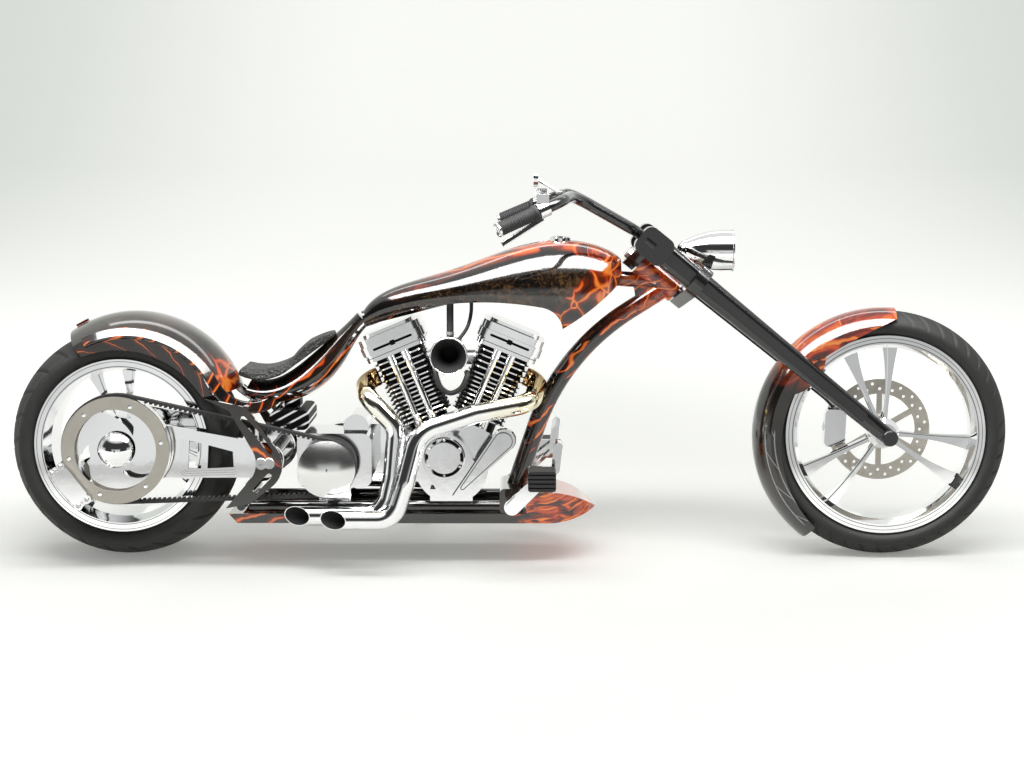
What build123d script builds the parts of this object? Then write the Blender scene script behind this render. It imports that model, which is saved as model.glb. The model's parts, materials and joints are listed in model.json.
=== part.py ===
"""Long raked chopper motorcycle, parked on its side stand.

Every piece is drawn with the machine upright: X runs forward from the rear axle, Y to the rider's left and
Z up from the floor.  The last section leans the finished pieces over onto the stand and puts the origin on
the floor under the middle of the whole machine.
"""

import os
from math import asin, atan2, cos, degrees, hypot, pi, radians, sin, sqrt

from build123d import *

os.makedirs("parts", exist_ok=True)

# Wheels: millimetres throughout, angles in degrees
wheelbase = 2160.0
rear_tyre_radius = 326.0
rear_tyre_half_width = 125.0
rear_crown_radius = 180.0
rear_bead_radius = 230.0
rear_bead_half_width = 106.0
front_tyre_radius = 350.0
front_tyre_half_width = 60.0
front_crown_radius = 64.0
front_bead_radius = 268.0
front_bead_half_width = 43.0
rim_lip_width = 9.0
rim_lip_height = 15.0
rim_barrel_wall = 9.0
rim_well_depth = 12.0
spoke_thickness = 20.0
spoke_root_half_width = 8.0
spoke_flare = 30.0
spoke_ridge = 6.0
spoke_ridge_share = 0.5
spoke_pairs = 3
spoke_spread = 15.0
rear_spoke_angle = 102.0
front_spoke_angle = 100.0
rear_hub_radius = 58.0
rear_hub_half_width = 112.0
rear_axle_radius = 14.0
front_hub_radius = 44.0
front_hub_half_width = 58.0
front_axle_radius = 10.0
running_fit = 0.08
seat_gap = 0.3

# Fork and steering head
rake = 51.0
fork_offset = 60.0
leg_right = 105.0
leg_thickness = 38.0
leg_width_foot = 46.0
leg_width_top = 72.0
leg_groove_width = 7.0
leg_groove_depth = 2.5
leg_groove_spacing = 20.0
stem_radius = 18.0
head_radius = 37.0
head_length = 132.0
head_middle = 783.0
leg_over_head = 89.0
leg_top = head_middle + leg_over_head
yoke_thickness = 34.0
head_play = 4.0

# Frame
main_tube_radius = 22.0
down_tube_radius = 27.0
rail_radius = 16.0
rail_right = 98.0
rail_height = 152.0
tail_x = 676.0
tail_z = 676.0
plate_right = 186.0
plate_thickness = 14.0
pivot_x = 412.0
pivot_z = 289.0
cross_tube_radius = 12.0

# Engine and gearbox
crank_x = 929.0
crank_z = 220.0
cylinder_lean = 22.5
deck_height = 168.0
head_deck = 322.0
rocker_deck = 397.0
rocker_height = 78.0
case_half_width = 75.0
cam_chest_depth = 66.0
box_pulley_x = 585.0
box_pulley_z = 272.0

# Final drive
arm_inner = 131.0
arm_thickness = 16.0
rear_pulley_radius = 148.0
box_pulley_radius = 74.0
belt_thickness = 7.0
belt_width = 28.0
belt_pitch = 14.0
belt_tooth_height = 5.0
belt_tooth_width = 7.0
belt_slack = 0.5
belt_right = 152.5
disc_right = 197.0
disc_thickness = 6.0
rear_disc_radius = 150.0
rear_disc_inner = 114.0
front_disc_radius = 146.0
front_disc_inner = 104.0

# Side stand and parking
lean = 7.0
stand_x = 780.0
stand_left = 166.0
stand_z = 150.0
stand_foot_ahead = 70.0
stand_foot_left = 300.0
stand_tube_radius = 11.0

rear_axle = Vector(0, 0, rear_tyre_radius)
front_axle = Vector(wheelbase, 0, front_tyre_radius)
across = Vector(0, 1, 0)
fork_up = Vector(-sin(radians(rake)), 0, cos(radians(rake)))
fork_ahead = Vector(cos(radians(rake)), 0, sin(radians(rake)))
steering_foot = front_axle - fork_ahead * fork_offset
crank = Vector(crank_x, 0, crank_z)
pieces = {}


def side_plane(right):
    """A plane seen from the machine's right: local x is forward, local y is up, and it faces right."""
    return Plane.XZ.offset(right)


def wheel_section(axle):
    """The plane of a wheel's cross-section: local x is across the machine and local y is the radius."""
    return Plane(origin=axle, x_dir=(0, 1, 0), z_dir=(1, 0, 0))


def wheel_face(axle, right):
    """A plane parallel to a wheel, centred on its axle and facing right."""
    return Plane(origin=(axle.X, -right, axle.Z), x_dir=(1, 0, 0), z_dir=(0, -1, 0))


def fork_plane(height, ahead=0.0, right=0.0):
    """A plane square to the steering axis: local x points ahead of the fork and local y to the left."""
    place = steering_foot + fork_up * height + fork_ahead * ahead - across * right
    return Plane(origin=place, x_dir=fork_ahead, z_dir=fork_up)


def cylinder_plane(tilt, height):
    """A plane square to an engine cylinder that leans forward by tilt, at a height above the crank."""
    up = Vector(sin(radians(tilt)), 0, cos(radians(tilt)))
    along = Vector(cos(radians(tilt)), 0, -sin(radians(tilt)))
    return Plane(origin=crank + up * height, x_dir=along, z_dir=up)


def dome_middle(radius, height):
    """The point half way along a spherical dome's profile: its height over the base and its radius."""
    ball = (radius**2 + height**2) / (2 * height)
    half = asin(min(1.0, radius / ball)) / 2
    return (height - ball + ball * cos(half), ball * sin(half))


def ray(centre, radius, angle):
    """The side-view point at a radius and an angle about a centre."""
    return (centre.X + radius * cos(radians(angle)), centre.Z + radius * sin(radians(angle)))


def blade_face(root, end, narrow, flare, hand):
    """A spoke blade along local x: narrow at the hub, flaring to the rim, most on the side that hand names."""
    middle = (root + end) / 2
    with BuildSketch() as blade:
        with BuildLine():
            ThreePointArc((root, hand * narrow), (middle, hand * narrow * 1.2), (end, hand * flare))
            Line((end, hand * flare), (end, -hand * flare / 2))
            ThreePointArc((end, -hand * flare / 2), (middle, -hand * narrow), (root, -hand * narrow))
            Line((root, -hand * narrow), (root, hand * narrow))
        make_face()
    return blade.sketch


def keep(builder, node):
    """Names a finished piece and sets it aside for parking."""
    builder.part.label = node
    pieces[node] = builder.part


# Tyres and wheels, one row for each wheel
wheel_table = [
    # name, axle, radius, half width, crown, bead radius, bead half width, hub radius, hub half width, bore, angle
    ("rear", rear_axle, rear_tyre_radius, rear_tyre_half_width, rear_crown_radius, rear_bead_radius,
     rear_bead_half_width, rear_hub_radius, rear_hub_half_width, rear_axle_radius, rear_spoke_angle),
    ("front", front_axle, front_tyre_radius, front_tyre_half_width, front_crown_radius, front_bead_radius,
     front_bead_half_width, front_hub_radius, front_hub_half_width, front_axle_radius + running_fit,
     front_spoke_angle),
]
shoulder_share = 0.82
hub_waist = 0.72
for name, axle, radius, half, crown, bead, bead_half, hub, hub_half, bore, angle in wheel_table:
    axis = Axis(axle, (0, 1, 0))
    shoulder = half * shoulder_share
    shoulder_radius = radius - crown + sqrt(crown**2 - shoulder**2)
    bead_top = bead + rim_lip_height + 3
    flank_radius = (shoulder_radius + bead_top) / 2
    with BuildPart() as tyre:
        with BuildSketch(wheel_section(axle)):
            with BuildLine():
                ThreePointArc((-shoulder, shoulder_radius), (0, radius), (shoulder, shoulder_radius))
                ThreePointArc((shoulder, shoulder_radius), (half, flank_radius), (bead_half, bead_top))
                Polyline((bead_half, bead_top), (bead_half, bead), (-bead_half, bead), (-bead_half, bead_top))
                ThreePointArc((-bead_half, bead_top), (-half, flank_radius), (-shoulder, shoulder_radius))
            make_face()
        revolve(axis=axis)
    keep(tyre, f"{name}_tyre")

    seat = bead - seat_gap
    lip_in = bead_half + seat_gap
    lip_out = lip_in + rim_lip_width
    lip_top = bead + rim_lip_height
    well = seat - rim_well_depth
    barrel_inner = well - rim_barrel_wall
    blade_root = hub - spoke_root_half_width / 2
    blade_end = barrel_inner + rim_barrel_wall / 2
    with BuildPart() as rim:
        with BuildSketch(wheel_section(axle)):
            with BuildLine():
                Polyline(
                    (-lip_out, lip_top), (-lip_in, lip_top), (-lip_in, seat), (-bead_half * 0.55, seat),
                    (-bead_half * 0.45, well), (bead_half * 0.45, well), (bead_half * 0.55, seat), (lip_in, seat),
                    (lip_in, lip_top), (lip_out, lip_top), (lip_out, seat - rim_barrel_wall),
                    (bead_half * 0.6, barrel_inner), (-bead_half * 0.6, barrel_inner),
                    (-lip_out, seat - rim_barrel_wall), close=True,
                )
            make_face()
        revolve(axis=axis)
        with BuildSketch(wheel_section(axle)):
            with BuildLine():
                Polyline((-hub_half, bore), (-hub_half, hub * hub_waist), (-hub_half * 0.7, hub * hub_waist),
                         (-spoke_thickness, hub), (spoke_thickness, hub), (hub_half * 0.7, hub * hub_waist),
                         (hub_half, hub * hub_waist), (hub_half, bore), close=True)
            make_face()
        revolve(axis=axis)
        for share, thickness in ((1.0, spoke_thickness),
                                 (spoke_ridge_share, spoke_thickness + 2 * spoke_ridge)):
            with BuildSketch(wheel_face(axle, -thickness / 2)):
                for hand in (1, -1):
                    with PolarLocations(0, spoke_pairs, start_angle=angle - hand * spoke_spread):
                        add(blade_face(blade_root, blade_end, share * spoke_root_half_width,
                                       share * spoke_flare, hand))
            extrude(amount=thickness)
    keep(rim, f"{name}_rim")

# Rear axle, pulley and brake ring turn with the rear wheel
axle_left = 186.0
stub_start = 150.0
stub_radius = 11.0
axle_right = 196.0
axle_dome_radius = 50.0
axle_dome_height = 26.0
with BuildPart() as rear_shaft:
    with BuildSketch(wheel_section(rear_axle)):
        with BuildLine():
            Polyline((-axle_right - axle_dome_height, 0), (axle_left, 0), (axle_left, stub_radius),
                     (stub_start, stub_radius), (stub_start, rear_axle_radius), (-axle_right, rear_axle_radius),
                     (-axle_right, axle_dome_radius))
            rise, out = dome_middle(axle_dome_radius, axle_dome_height)
            ThreePointArc((-axle_right, axle_dome_radius), (-axle_right - rise, out),
                          (-axle_right - axle_dome_height, 0))
        make_face()
    revolve(axis=Axis(rear_axle, (0, 1, 0)))
keep(rear_shaft, "rear_axle")

pulley_hub_radius = 46.0
pulley_swirls = 3
swirl_inner = 60.0
swirl_outer = 121.0
swirl_sweep = 78.0
swirl_start = 40.0
disc_posts = 6
disc_post_radius = 7.0
disc_post_circle = 130.0
pulley_outer_right = belt_right + belt_width
swirl_from = ray(Vector(), swirl_inner, 0)
swirl_to = ray(Vector(), swirl_outer, swirl_sweep)
with BuildSketch() as swirl:
    with BuildLine():
        ThreePointArc(swirl_from, ray(Vector(), swirl_outer * 0.88, swirl_sweep * 0.41), swirl_to)
        ThreePointArc(swirl_to, ray(Vector(), swirl_outer * 0.7, swirl_sweep * 0.59), swirl_from)
    make_face()
with BuildPart() as pulley:
    with BuildSketch(wheel_face(rear_axle, belt_right)):
        Circle(rear_pulley_radius)
        with PolarLocations(0, pulley_swirls, swirl_start):
            add(swirl.sketch, mode=Mode.SUBTRACT)
        Circle(rear_axle_radius, mode=Mode.SUBTRACT)
    extrude(amount=belt_width)
    with BuildSketch(wheel_face(rear_axle, pulley_outer_right)):
        with PolarLocations(disc_post_circle, disc_posts, 10):
            Circle(disc_post_radius)
    extrude(amount=disc_right - pulley_outer_right)
    with BuildSketch(wheel_face(rear_axle, pulley_outer_right)):
        Circle(pulley_hub_radius * 0.7)
        Circle(rear_axle_radius, mode=Mode.SUBTRACT)
    extrude(amount=axle_right - pulley_outer_right)
keep(pulley, "rear_pulley")

# Brake rings, one row for each wheel
disc_table = [
    # name, axle, right face, outer radius, inner radius, carrier hub radius, rows of holes as shares of the ring
    ("rear_brake_disc", rear_axle, disc_right, rear_disc_radius, rear_disc_inner, 0.0, ()),
    ("front_brake_disc", front_axle, -front_hub_half_width - disc_thickness - seat_gap, front_disc_radius,
     front_disc_inner, front_hub_radius * hub_waist, (0.33, 0.70)),
]
carrier_arms = 6
carrier_arm_width = 16.0
cooling_holes = 20
cooling_hole_radius = 4.5
for name, axle, right, outer, inner, carrier, rows in disc_table:
    with BuildPart() as disc:
        with BuildSketch(wheel_face(axle, right)):
            Circle(outer)
            Circle(inner, mode=Mode.SUBTRACT)
            for number, share in enumerate(rows):
                half_step = 180 / cooling_holes
                with PolarLocations(inner + share * (outer - inner), cooling_holes, number * half_step):
                    Circle(cooling_hole_radius, mode=Mode.SUBTRACT)
            if carrier:
                with PolarLocations((inner + carrier) / 2, carrier_arms, 30):
                    Rectangle(inner - carrier + carrier_arm_width, carrier_arm_width)
                Circle(carrier)
                Circle(front_axle_radius + 2, mode=Mode.SUBTRACT)
        extrude(amount=disc_thickness)
    keep(disc, name)

# Fork legs: flat-sided, tapering to the axle, with two long grooves outside
leg_foot_radius = leg_width_foot / 2
groove_start = 90.0
groove_end = 640.0
with BuildPart() as fork_legs:
    for height, width in ((0.0, leg_width_foot), (leg_top, leg_width_top)):
        with BuildSketch(fork_plane(height, fork_offset, leg_right)):
            SlotOverall(width, leg_thickness)
    loft()
    with BuildSketch(wheel_face(front_axle, leg_right - leg_thickness / 2)):
        Circle(leg_foot_radius)
    extrude(amount=leg_thickness)
    groove_face = Plane(
        origin=front_axle + fork_up * (groove_start + groove_end) / 2
        - across * (leg_right + leg_thickness / 2 - leg_groove_depth), x_dir=fork_up, z_dir=(0, -1, 0))
    with BuildSketch(groove_face):
        with GridLocations(0, leg_groove_spacing, 1, 2):
            SlotOverall(groove_end - groove_start, leg_groove_width)
    extrude(amount=3 * leg_groove_depth, mode=Mode.SUBTRACT)
    with BuildSketch(wheel_face(front_axle, leg_right - leg_thickness)):
        Circle(front_axle_radius)
    extrude(amount=2 * leg_thickness, mode=Mode.SUBTRACT)
    mirror(about=Plane.XZ)
keep(fork_legs, "fork_legs")

# Front axle: a through shaft with a spacer collar between hub and leg on the right
collar_radius = 17.0
disc_outer_left = front_hub_half_width + disc_thickness + seat_gap
with BuildPart() as front_shaft:
    with BuildSketch(wheel_face(front_axle, -leg_right - leg_thickness / 2)):
        Circle(front_axle_radius)
    extrude(amount=2 * leg_right + leg_thickness)
    with BuildSketch(wheel_face(front_axle, front_hub_half_width + 1)):
        Circle(collar_radius)
    extrude(amount=leg_right - leg_thickness / 2 - front_hub_half_width - 1)
    with BuildSketch(wheel_face(front_axle, -leg_right + leg_thickness / 2)):
        Circle(collar_radius)
    extrude(amount=leg_right - leg_thickness / 2 - disc_outer_left - 1)
keep(front_shaft, "front_axle")

# Yokes: the lower one carries the steering stem and the lamp arm, the upper one the leg caps and the bar
lower_yoke_height = head_middle - head_length / 2 - head_play - yoke_thickness
upper_yoke_height = head_middle + head_length / 2 + head_play
yoke_stem_radius = 34.0
yoke_leg_radius = 47.0
cap_front = 42.0
cap_back = 42.0
cap_low = leg_top - 66.0
cap_top = leg_top + 32.0
cap_width = 54.0
cap_corner = 24.0
lamp_height = lower_yoke_height + 35.0
lamp_ahead = 152.0
lamp_radius = 58.0
lamp_arm_radius = 13.0
with BuildPart() as lower_yoke:
    with BuildSketch(fork_plane(lower_yoke_height)):
        Circle(yoke_stem_radius)
        with Locations((fork_offset, leg_right), (fork_offset, -leg_right)):
            Circle(yoke_leg_radius)
        make_hull()
    extrude(amount=yoke_thickness)
    with BuildSketch(fork_plane(lower_yoke_height)):
        Circle(stem_radius)
    extrude(amount=upper_yoke_height + yoke_thickness - lower_yoke_height)
    lamp_arm = fork_plane(lower_yoke_height + yoke_thickness / 2, fork_offset)
    with BuildSketch(Plane(origin=lamp_arm.origin, x_dir=(0, 1, 0), z_dir=fork_ahead)):
        Circle(lamp_arm_radius)
    extrude(amount=lamp_ahead - fork_offset - lamp_radius * 0.55)
    add(fork_legs.part, mode=Mode.SUBTRACT)

with BuildPart() as upper_yoke:
    with BuildSketch(fork_plane(upper_yoke_height)):
        Circle(yoke_stem_radius)
        with Locations((fork_offset, leg_right), (fork_offset, -leg_right)):
            Circle(yoke_leg_radius * 0.6)
        make_hull()
    extrude(amount=yoke_thickness)
    for right in (leg_right, -leg_right):
        cap_side = Plane(origin=steering_foot + fork_ahead * fork_offset + fork_up * (cap_low + cap_top) / 2
                         - across * (right - cap_width / 2), x_dir=fork_ahead, z_dir=(0, -1, 0))
        with BuildSketch(cap_side):
            RectangleRounded(cap_front + cap_back, cap_top - cap_low, cap_corner)
        extrude(amount=cap_width)
    with BuildSketch(fork_plane(upper_yoke_height)):
        Circle(stem_radius)
    extrude(amount=yoke_thickness, mode=Mode.SUBTRACT)
    add(fork_legs.part, mode=Mode.SUBTRACT)
keep(upper_yoke, "upper_yoke")

# Headlamp: a bullet turned about a level axis, with its lens set in the rim
lamp_back = 96.0
lamp_front = 62.0
lamp_wall = 3.0
lamp_tail_radius = 30.0
lamp_tail_depth = 24.0
lens_depth = 8.0
lamp_place = fork_plane(lamp_height, lamp_ahead).origin
lamp_plane = Plane(origin=lamp_place, x_dir=(1, 0, 0), z_dir=(0, -1, 0))
lamp_axis = Axis(lamp_place, (1, 0, 0))
tail_base = -lamp_back + lamp_tail_depth
tail_rise, tail_out = dome_middle(lamp_tail_radius, lamp_tail_depth)
lamp_side = ((tail_base, lamp_tail_radius), (-lamp_back * 0.2, lamp_radius * 0.88),
             (lamp_front * 0.5, lamp_radius))
with BuildSketch() as lamp_outline:
    with BuildLine():
        ThreePointArc((-lamp_back, 0), (tail_base - tail_rise, tail_out), lamp_side[0])
        ThreePointArc(*lamp_side)
        Polyline(lamp_side[2], (lamp_front, lamp_radius), (lamp_front, 0), (-lamp_back, 0))
    make_face()
lens_radius = lamp_radius - lamp_wall - seat_gap
with BuildPart() as lamp_shell:
    with BuildSketch(lamp_plane):
        add(lamp_outline.sketch)
    revolve(axis=lamp_axis)
    with BuildSketch(lamp_plane):
        Polygon((tail_base, 0), (tail_base, lamp_tail_radius * 0.7), (0, lamp_radius * 0.8),
                (lamp_front * 0.5, lamp_radius - lamp_wall), (lamp_front, lamp_radius - lamp_wall), (lamp_front, 0),
                align=None)
    revolve(axis=lamp_axis, mode=Mode.SUBTRACT)
keep(lamp_shell, "headlamp_shell")
lens_rise, lens_out = dome_middle(lens_radius, lens_depth)
with BuildPart() as lamp_lens:
    with BuildSketch(lamp_plane):
        with BuildLine():
            lens_base = lamp_front - lens_depth
            Polyline((lamp_front, 0), (lens_base - 6, 0), (lens_base - 6, lens_radius), (lens_base, lens_radius))
            ThreePointArc((lens_base, lens_radius), (lens_base + lens_rise, lens_out), (lamp_front, 0))
        make_face()
    revolve(axis=lamp_axis)
keep(lamp_lens, "headlamp_lens")
with BuildPart() as lower_yoke_trimmed:
    add(lower_yoke.part)
    with BuildSketch(lamp_plane):
        add(lamp_outline.sketch)
    revolve(axis=lamp_axis, mode=Mode.SUBTRACT)
keep(lower_yoke_trimmed, "lower_yoke")

# Handlebar: one bent tube over the upper yoke, swept back to the grips
bar_radius = 16.0
grip_radius = 19.0
grip_length = 118.0
bar_seat = fork_plane(cap_top + bar_radius - 6, fork_offset).origin
bar_table = [
    # x, right, height, bend radius
    (1066.0, 352.0, 944.0, 0.0),
    (1236.0, 284.0, 1018.0, 70.0),
    (1268.0, 96.0, 1028.0, 90.0),
    (bar_seat.X, 46.0, bar_seat.Z, 28.0),
]
bar_right = [Vector(x, -right, z) for x, right, z, bend in bar_table]
bar_left = [Vector(point.X, -point.Y, point.Z) for point in reversed(bar_right)]
bends = [bend for x, right, z, bend in bar_table[1:]]
grip_way = (bar_right[0] - bar_right[1]).normalized()
with BuildPart() as handlebar:
    with BuildLine() as bar_path:
        FilletPolyline(*bar_right, *bar_left, radius=bends + bends[::-1])
    with BuildSketch(Plane(origin=bar_right[0], z_dir=-grip_way)):
        Circle(bar_radius)
    sweep(path=bar_path.line)
keep(handlebar, "handlebar")
with BuildPart() as grips:
    with BuildSketch(Plane(origin=bar_right[0] + grip_way * 6, z_dir=-grip_way)):
        Circle(grip_radius)
    extrude(amount=6 - seat_gap)
    with BuildSketch(Plane(origin=bar_right[0] + grip_way * seat_gap, z_dir=-grip_way)):
        Circle(grip_radius)
        Circle(bar_radius + seat_gap, mode=Mode.SUBTRACT)
    extrude(amount=grip_length)
    mirror(about=Plane.XZ)
keep(grips, "grips")

# Bar clamp: two posts between the upper yoke and the bar
post_radius = 15.0
post_right = 24.0
with BuildPart() as bar_posts:
    with BuildSketch(fork_plane(upper_yoke_height + yoke_thickness, fork_offset)):
        with Locations((0, post_right), (0, -post_right)):
            Circle(post_radius)
    extrude(amount=cap_top + bar_radius - 6 - upper_yoke_height - yoke_thickness)
    with BuildSketch(Plane(origin=bar_seat, x_dir=fork_ahead, z_dir=(0, 1, 0))):
        Circle(bar_radius)
    extrude(amount=2 * post_right + 2 * post_radius, both=True, mode=Mode.SUBTRACT)
keep(bar_posts, "bar_posts")

# Hand controls: a clamp block, a reservoir and a lever on each side
block_length = 30.0
block_radius = 22.0
lever_thickness = 9.0
lever_width = 14.0
control_place = bar_right[0] - grip_way * (grip_length + 4)
lever_drop = 46.0
with BuildPart() as controls:
    with BuildSketch(Plane(origin=control_place, z_dir=-grip_way)):
        Circle(block_radius)
        Circle(bar_radius + seat_gap, mode=Mode.SUBTRACT)
    extrude(amount=block_length)
    lever_root = control_place - grip_way * block_length / 2 - Vector(0, 0, block_radius + lever_thickness / 2)
    lever_tip = bar_right[0] - grip_way * 12 - Vector(0, 0, lever_drop)
    lever_way = (lever_tip - lever_root).normalized()
    with BuildSketch(Plane(origin=lever_root + Vector(0, 0, 3), z_dir=lever_way)):
        RectangleRounded(lever_width, lever_thickness, 3)
    extrude(amount=(lever_tip - lever_root).length)
    with Locations(control_place - grip_way * block_length / 2 + Vector(0, 0, block_radius + 8)):
        Box(34, 30, 24)
    with BuildSketch(Plane(origin=control_place, z_dir=-grip_way)):
        Circle(bar_radius + seat_gap)
    extrude(amount=block_length, mode=Mode.SUBTRACT)
    mirror(about=Plane.XZ)
    add(handlebar.part, mode=Mode.SUBTRACT)
    add(grips.part, mode=Mode.SUBTRACT)
keep(controls, "hand_controls")

# Mirror on the left bar
mirror_stem_radius = 6.0
mirror_foot = bar_left[2] * 0.62 + bar_left[1] * 0.38
mirror_head = Vector(1168, 262, 1068)
mirror_wide = 44.0
mirror_high = 26.0
mirror_deep = 14.0
with BuildPart() as bar_mirror:
    stem_way = (mirror_head - mirror_foot).normalized()
    with BuildSketch(Plane(origin=mirror_foot + stem_way * (bar_radius + 0.2), z_dir=stem_way)):
        Circle(mirror_stem_radius)
    extrude(amount=(mirror_head - mirror_foot).length - bar_radius)
    with BuildSketch(Plane(origin=mirror_head, x_dir=(0, 1, 0), z_dir=(-1, 0, 0))):
        SlotOverall(2 * mirror_wide, 2 * mirror_high)
    extrude(amount=mirror_deep / 2, both=True)
    add(handlebar.part, mode=Mode.SUBTRACT)
keep(bar_mirror, "mirror")

# Front fender: a hoop over the tyre, trimmed by its side outline
fender_shift_x = -7.0
fender_shift_z = -8.0
fender_radius = 367.0
fender_wall = 3.0
fender_half_width = 77.0
fender_shoulder = 46.0
fender_skirt = 300.0
fender_lobe = 256.0
fender_tip_angle = 86.0
fender_tail_angle = 233.0
lobe_start = 128.0
lobe_end = 156.0
fender_centre = front_axle + Vector(fender_shift_x, 0, fender_shift_z)


def hoop_face(half_width, top, shoulder, foot):
    """A fender's section: a round crown with straight skirts down to the foot radius."""
    with BuildSketch() as section:
        with BuildLine():
            ThreePointArc((-half_width, top - shoulder), (0, top), (half_width, top - shoulder))
            Polyline((half_width, top - shoulder), (half_width, foot), (-half_width, foot),
                     (-half_width, top - shoulder))
        make_face()
    return section.sketch


def hoop_plane(centre, angle):
    """The plane of a fender's section at an angle round its centre: local x is left, local y is outward."""
    return Plane(origin=centre, x_dir=(0, 1, 0), z_dir=(sin(radians(angle)), 0, -cos(radians(angle))))


with BuildPart() as front_fender:
    with BuildSketch(hoop_plane(fender_centre, fender_tip_angle - 6)):
        add(hoop_face(fender_half_width, fender_radius, fender_shoulder, fender_lobe - 30))
        add(hoop_face(fender_half_width - fender_wall, fender_radius - fender_wall, fender_shoulder,
                      fender_lobe - 40), mode=Mode.SUBTRACT)
    revolve(axis=Axis(fender_centre, (0, 1, 0)), revolution_arc=-(fender_tail_angle - fender_tip_angle + 12))
    with BuildSketch(Plane.XZ):
        with BuildLine():
            outer = fender_radius + 20
            tip_mid = (fender_tip_angle + lobe_start) / 2
            lobe_mid = (lobe_start + lobe_end) / 2
            tail_mid = (lobe_end + fender_tail_angle) / 2
            Line(ray(front_axle, outer, fender_tip_angle), ray(front_axle, fender_skirt + 32, fender_tip_angle))
            ThreePointArc(ray(front_axle, fender_skirt + 32, fender_tip_angle),
                          ray(front_axle, fender_skirt - 8, tip_mid), ray(front_axle, fender_skirt - 14, lobe_start))
            ThreePointArc(ray(front_axle, fender_skirt - 14, lobe_start), ray(front_axle, fender_lobe, lobe_mid),
                          ray(front_axle, fender_skirt - 10, lobe_end))
            ThreePointArc(ray(front_axle, fender_skirt - 10, lobe_end), ray(front_axle, fender_skirt + 4, tail_mid),
                          ray(front_axle, fender_skirt + 30, fender_tail_angle))
            Line(ray(front_axle, fender_skirt + 30, fender_tail_angle), ray(front_axle, outer, fender_tail_angle))
            middle_angle = (fender_tip_angle + fender_tail_angle) / 2
            ThreePointArc(ray(front_axle, outer, fender_tail_angle), ray(front_axle, outer, middle_angle),
                          ray(front_axle, outer, fender_tip_angle))
        make_face()
    extrude(amount=fender_half_width + 5, both=True, mode=Mode.INTERSECT)
keep(front_fender, "front_fender")

# Fender stays between the lobes and the fork legs
stay_radius = 8.0
stay_heights = (268.0, 286.0)
with BuildPart() as stays:
    for height in stay_heights:
        place = front_axle + fork_up * height
        with BuildSketch(wheel_face(place, fender_half_width)):
            Circle(stay_radius)
        extrude(amount=leg_right - leg_thickness / 2 - fender_half_width)
    mirror(about=Plane.XZ)
keep(stays, "fender_stays")

# Front caliper astride the disc, held by a plate on the left leg
caliper_angle = 178.0
caliper_long = 108.0
caliper_in = 98.0
caliper_out = 158.0
caliper_slot = 5.0
front_caliper_half = 17.0
disc_left = front_hub_half_width + seat_gap
caliper_x = Vector(cos(radians(caliper_angle)), 0, sin(radians(caliper_angle)))
leg_inner = leg_right - leg_thickness / 2
with BuildPart() as front_caliper:
    with BuildSketch(Plane(origin=front_axle + caliper_x * (caliper_in + caliper_out) / 2
                           + across * (disc_left + disc_thickness / 2), x_dir=caliper_x, z_dir=(0, -1, 0))):
        RectangleRounded(caliper_out - caliper_in, caliper_long, 14)
    extrude(amount=front_caliper_half, both=True)
    bracket_face = Plane(origin=front_axle + across * (leg_inner - seat_gap), x_dir=(1, 0, 0), z_dir=(0, -1, 0))
    with BuildSketch(bracket_face):
        with Locations((caliper_x.X * caliper_out * 0.86, caliper_x.Z * caliper_out * 0.86)):
            Circle(26)
        with Locations((fork_up.X * 150, fork_up.Z * 150)):
            Circle(20)
        make_hull()
    extrude(amount=leg_inner - seat_gap - disc_left - disc_thickness - caliper_slot)
    with BuildSketch(wheel_face(front_axle, -disc_left - disc_thickness - caliper_slot)):
        Circle(front_disc_radius + caliper_slot)
    extrude(amount=disc_thickness + 2 * caliper_slot, mode=Mode.SUBTRACT)
keep(front_caliper, "front_caliper")

# Frame: steering head with its main tube, and the cradle of down tube, cross member and lower rails
gusset_thickness = 30.0
main_bend_x = 1180.0
main_bend_z = 806.0
main_bend_radius = 900.0
down_bend_x = 1241.0
down_bend_z = 579.0
down_bend_radius = 640.0
down_foot_x = 1096.0
member_long = 62.0
member_low = 132.0
member_top = 204.0
rail_end_x = 345.0
head_top_joint = steering_foot + fork_up * (head_middle - 24)
head_low_joint = steering_foot + fork_up * (head_middle - 40)
main_bend = Vector(main_bend_x, 0, main_bend_z)
tail = Vector(tail_x, 0, tail_z)
with BuildPart() as frame_top:
    with BuildLine() as main_path:
        FilletPolyline(head_top_joint, main_bend, tail, radius=main_bend_radius)
    with BuildSketch(Plane(origin=head_top_joint, z_dir=main_bend - head_top_joint)):
        Circle(main_tube_radius)
    sweep(path=main_path.line)
    with BuildSketch(fork_plane(head_middle - head_length / 2)):
        Circle(head_radius)
    extrude(amount=head_length)
    with BuildSketch(Plane.XZ):
        Polygon((head_top_joint.X, head_top_joint.Z), (head_top_joint.X - 90, head_top_joint.Z - 4),
                (head_low_joint.X - 94, head_low_joint.Z - 40), (head_low_joint.X, head_low_joint.Z), align=None)
    extrude(amount=gusset_thickness / 2, both=True)
    with BuildSketch(fork_plane(head_middle - head_length / 2)):
        Circle(stem_radius + running_fit)
    extrude(amount=head_length, mode=Mode.SUBTRACT)

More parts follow.
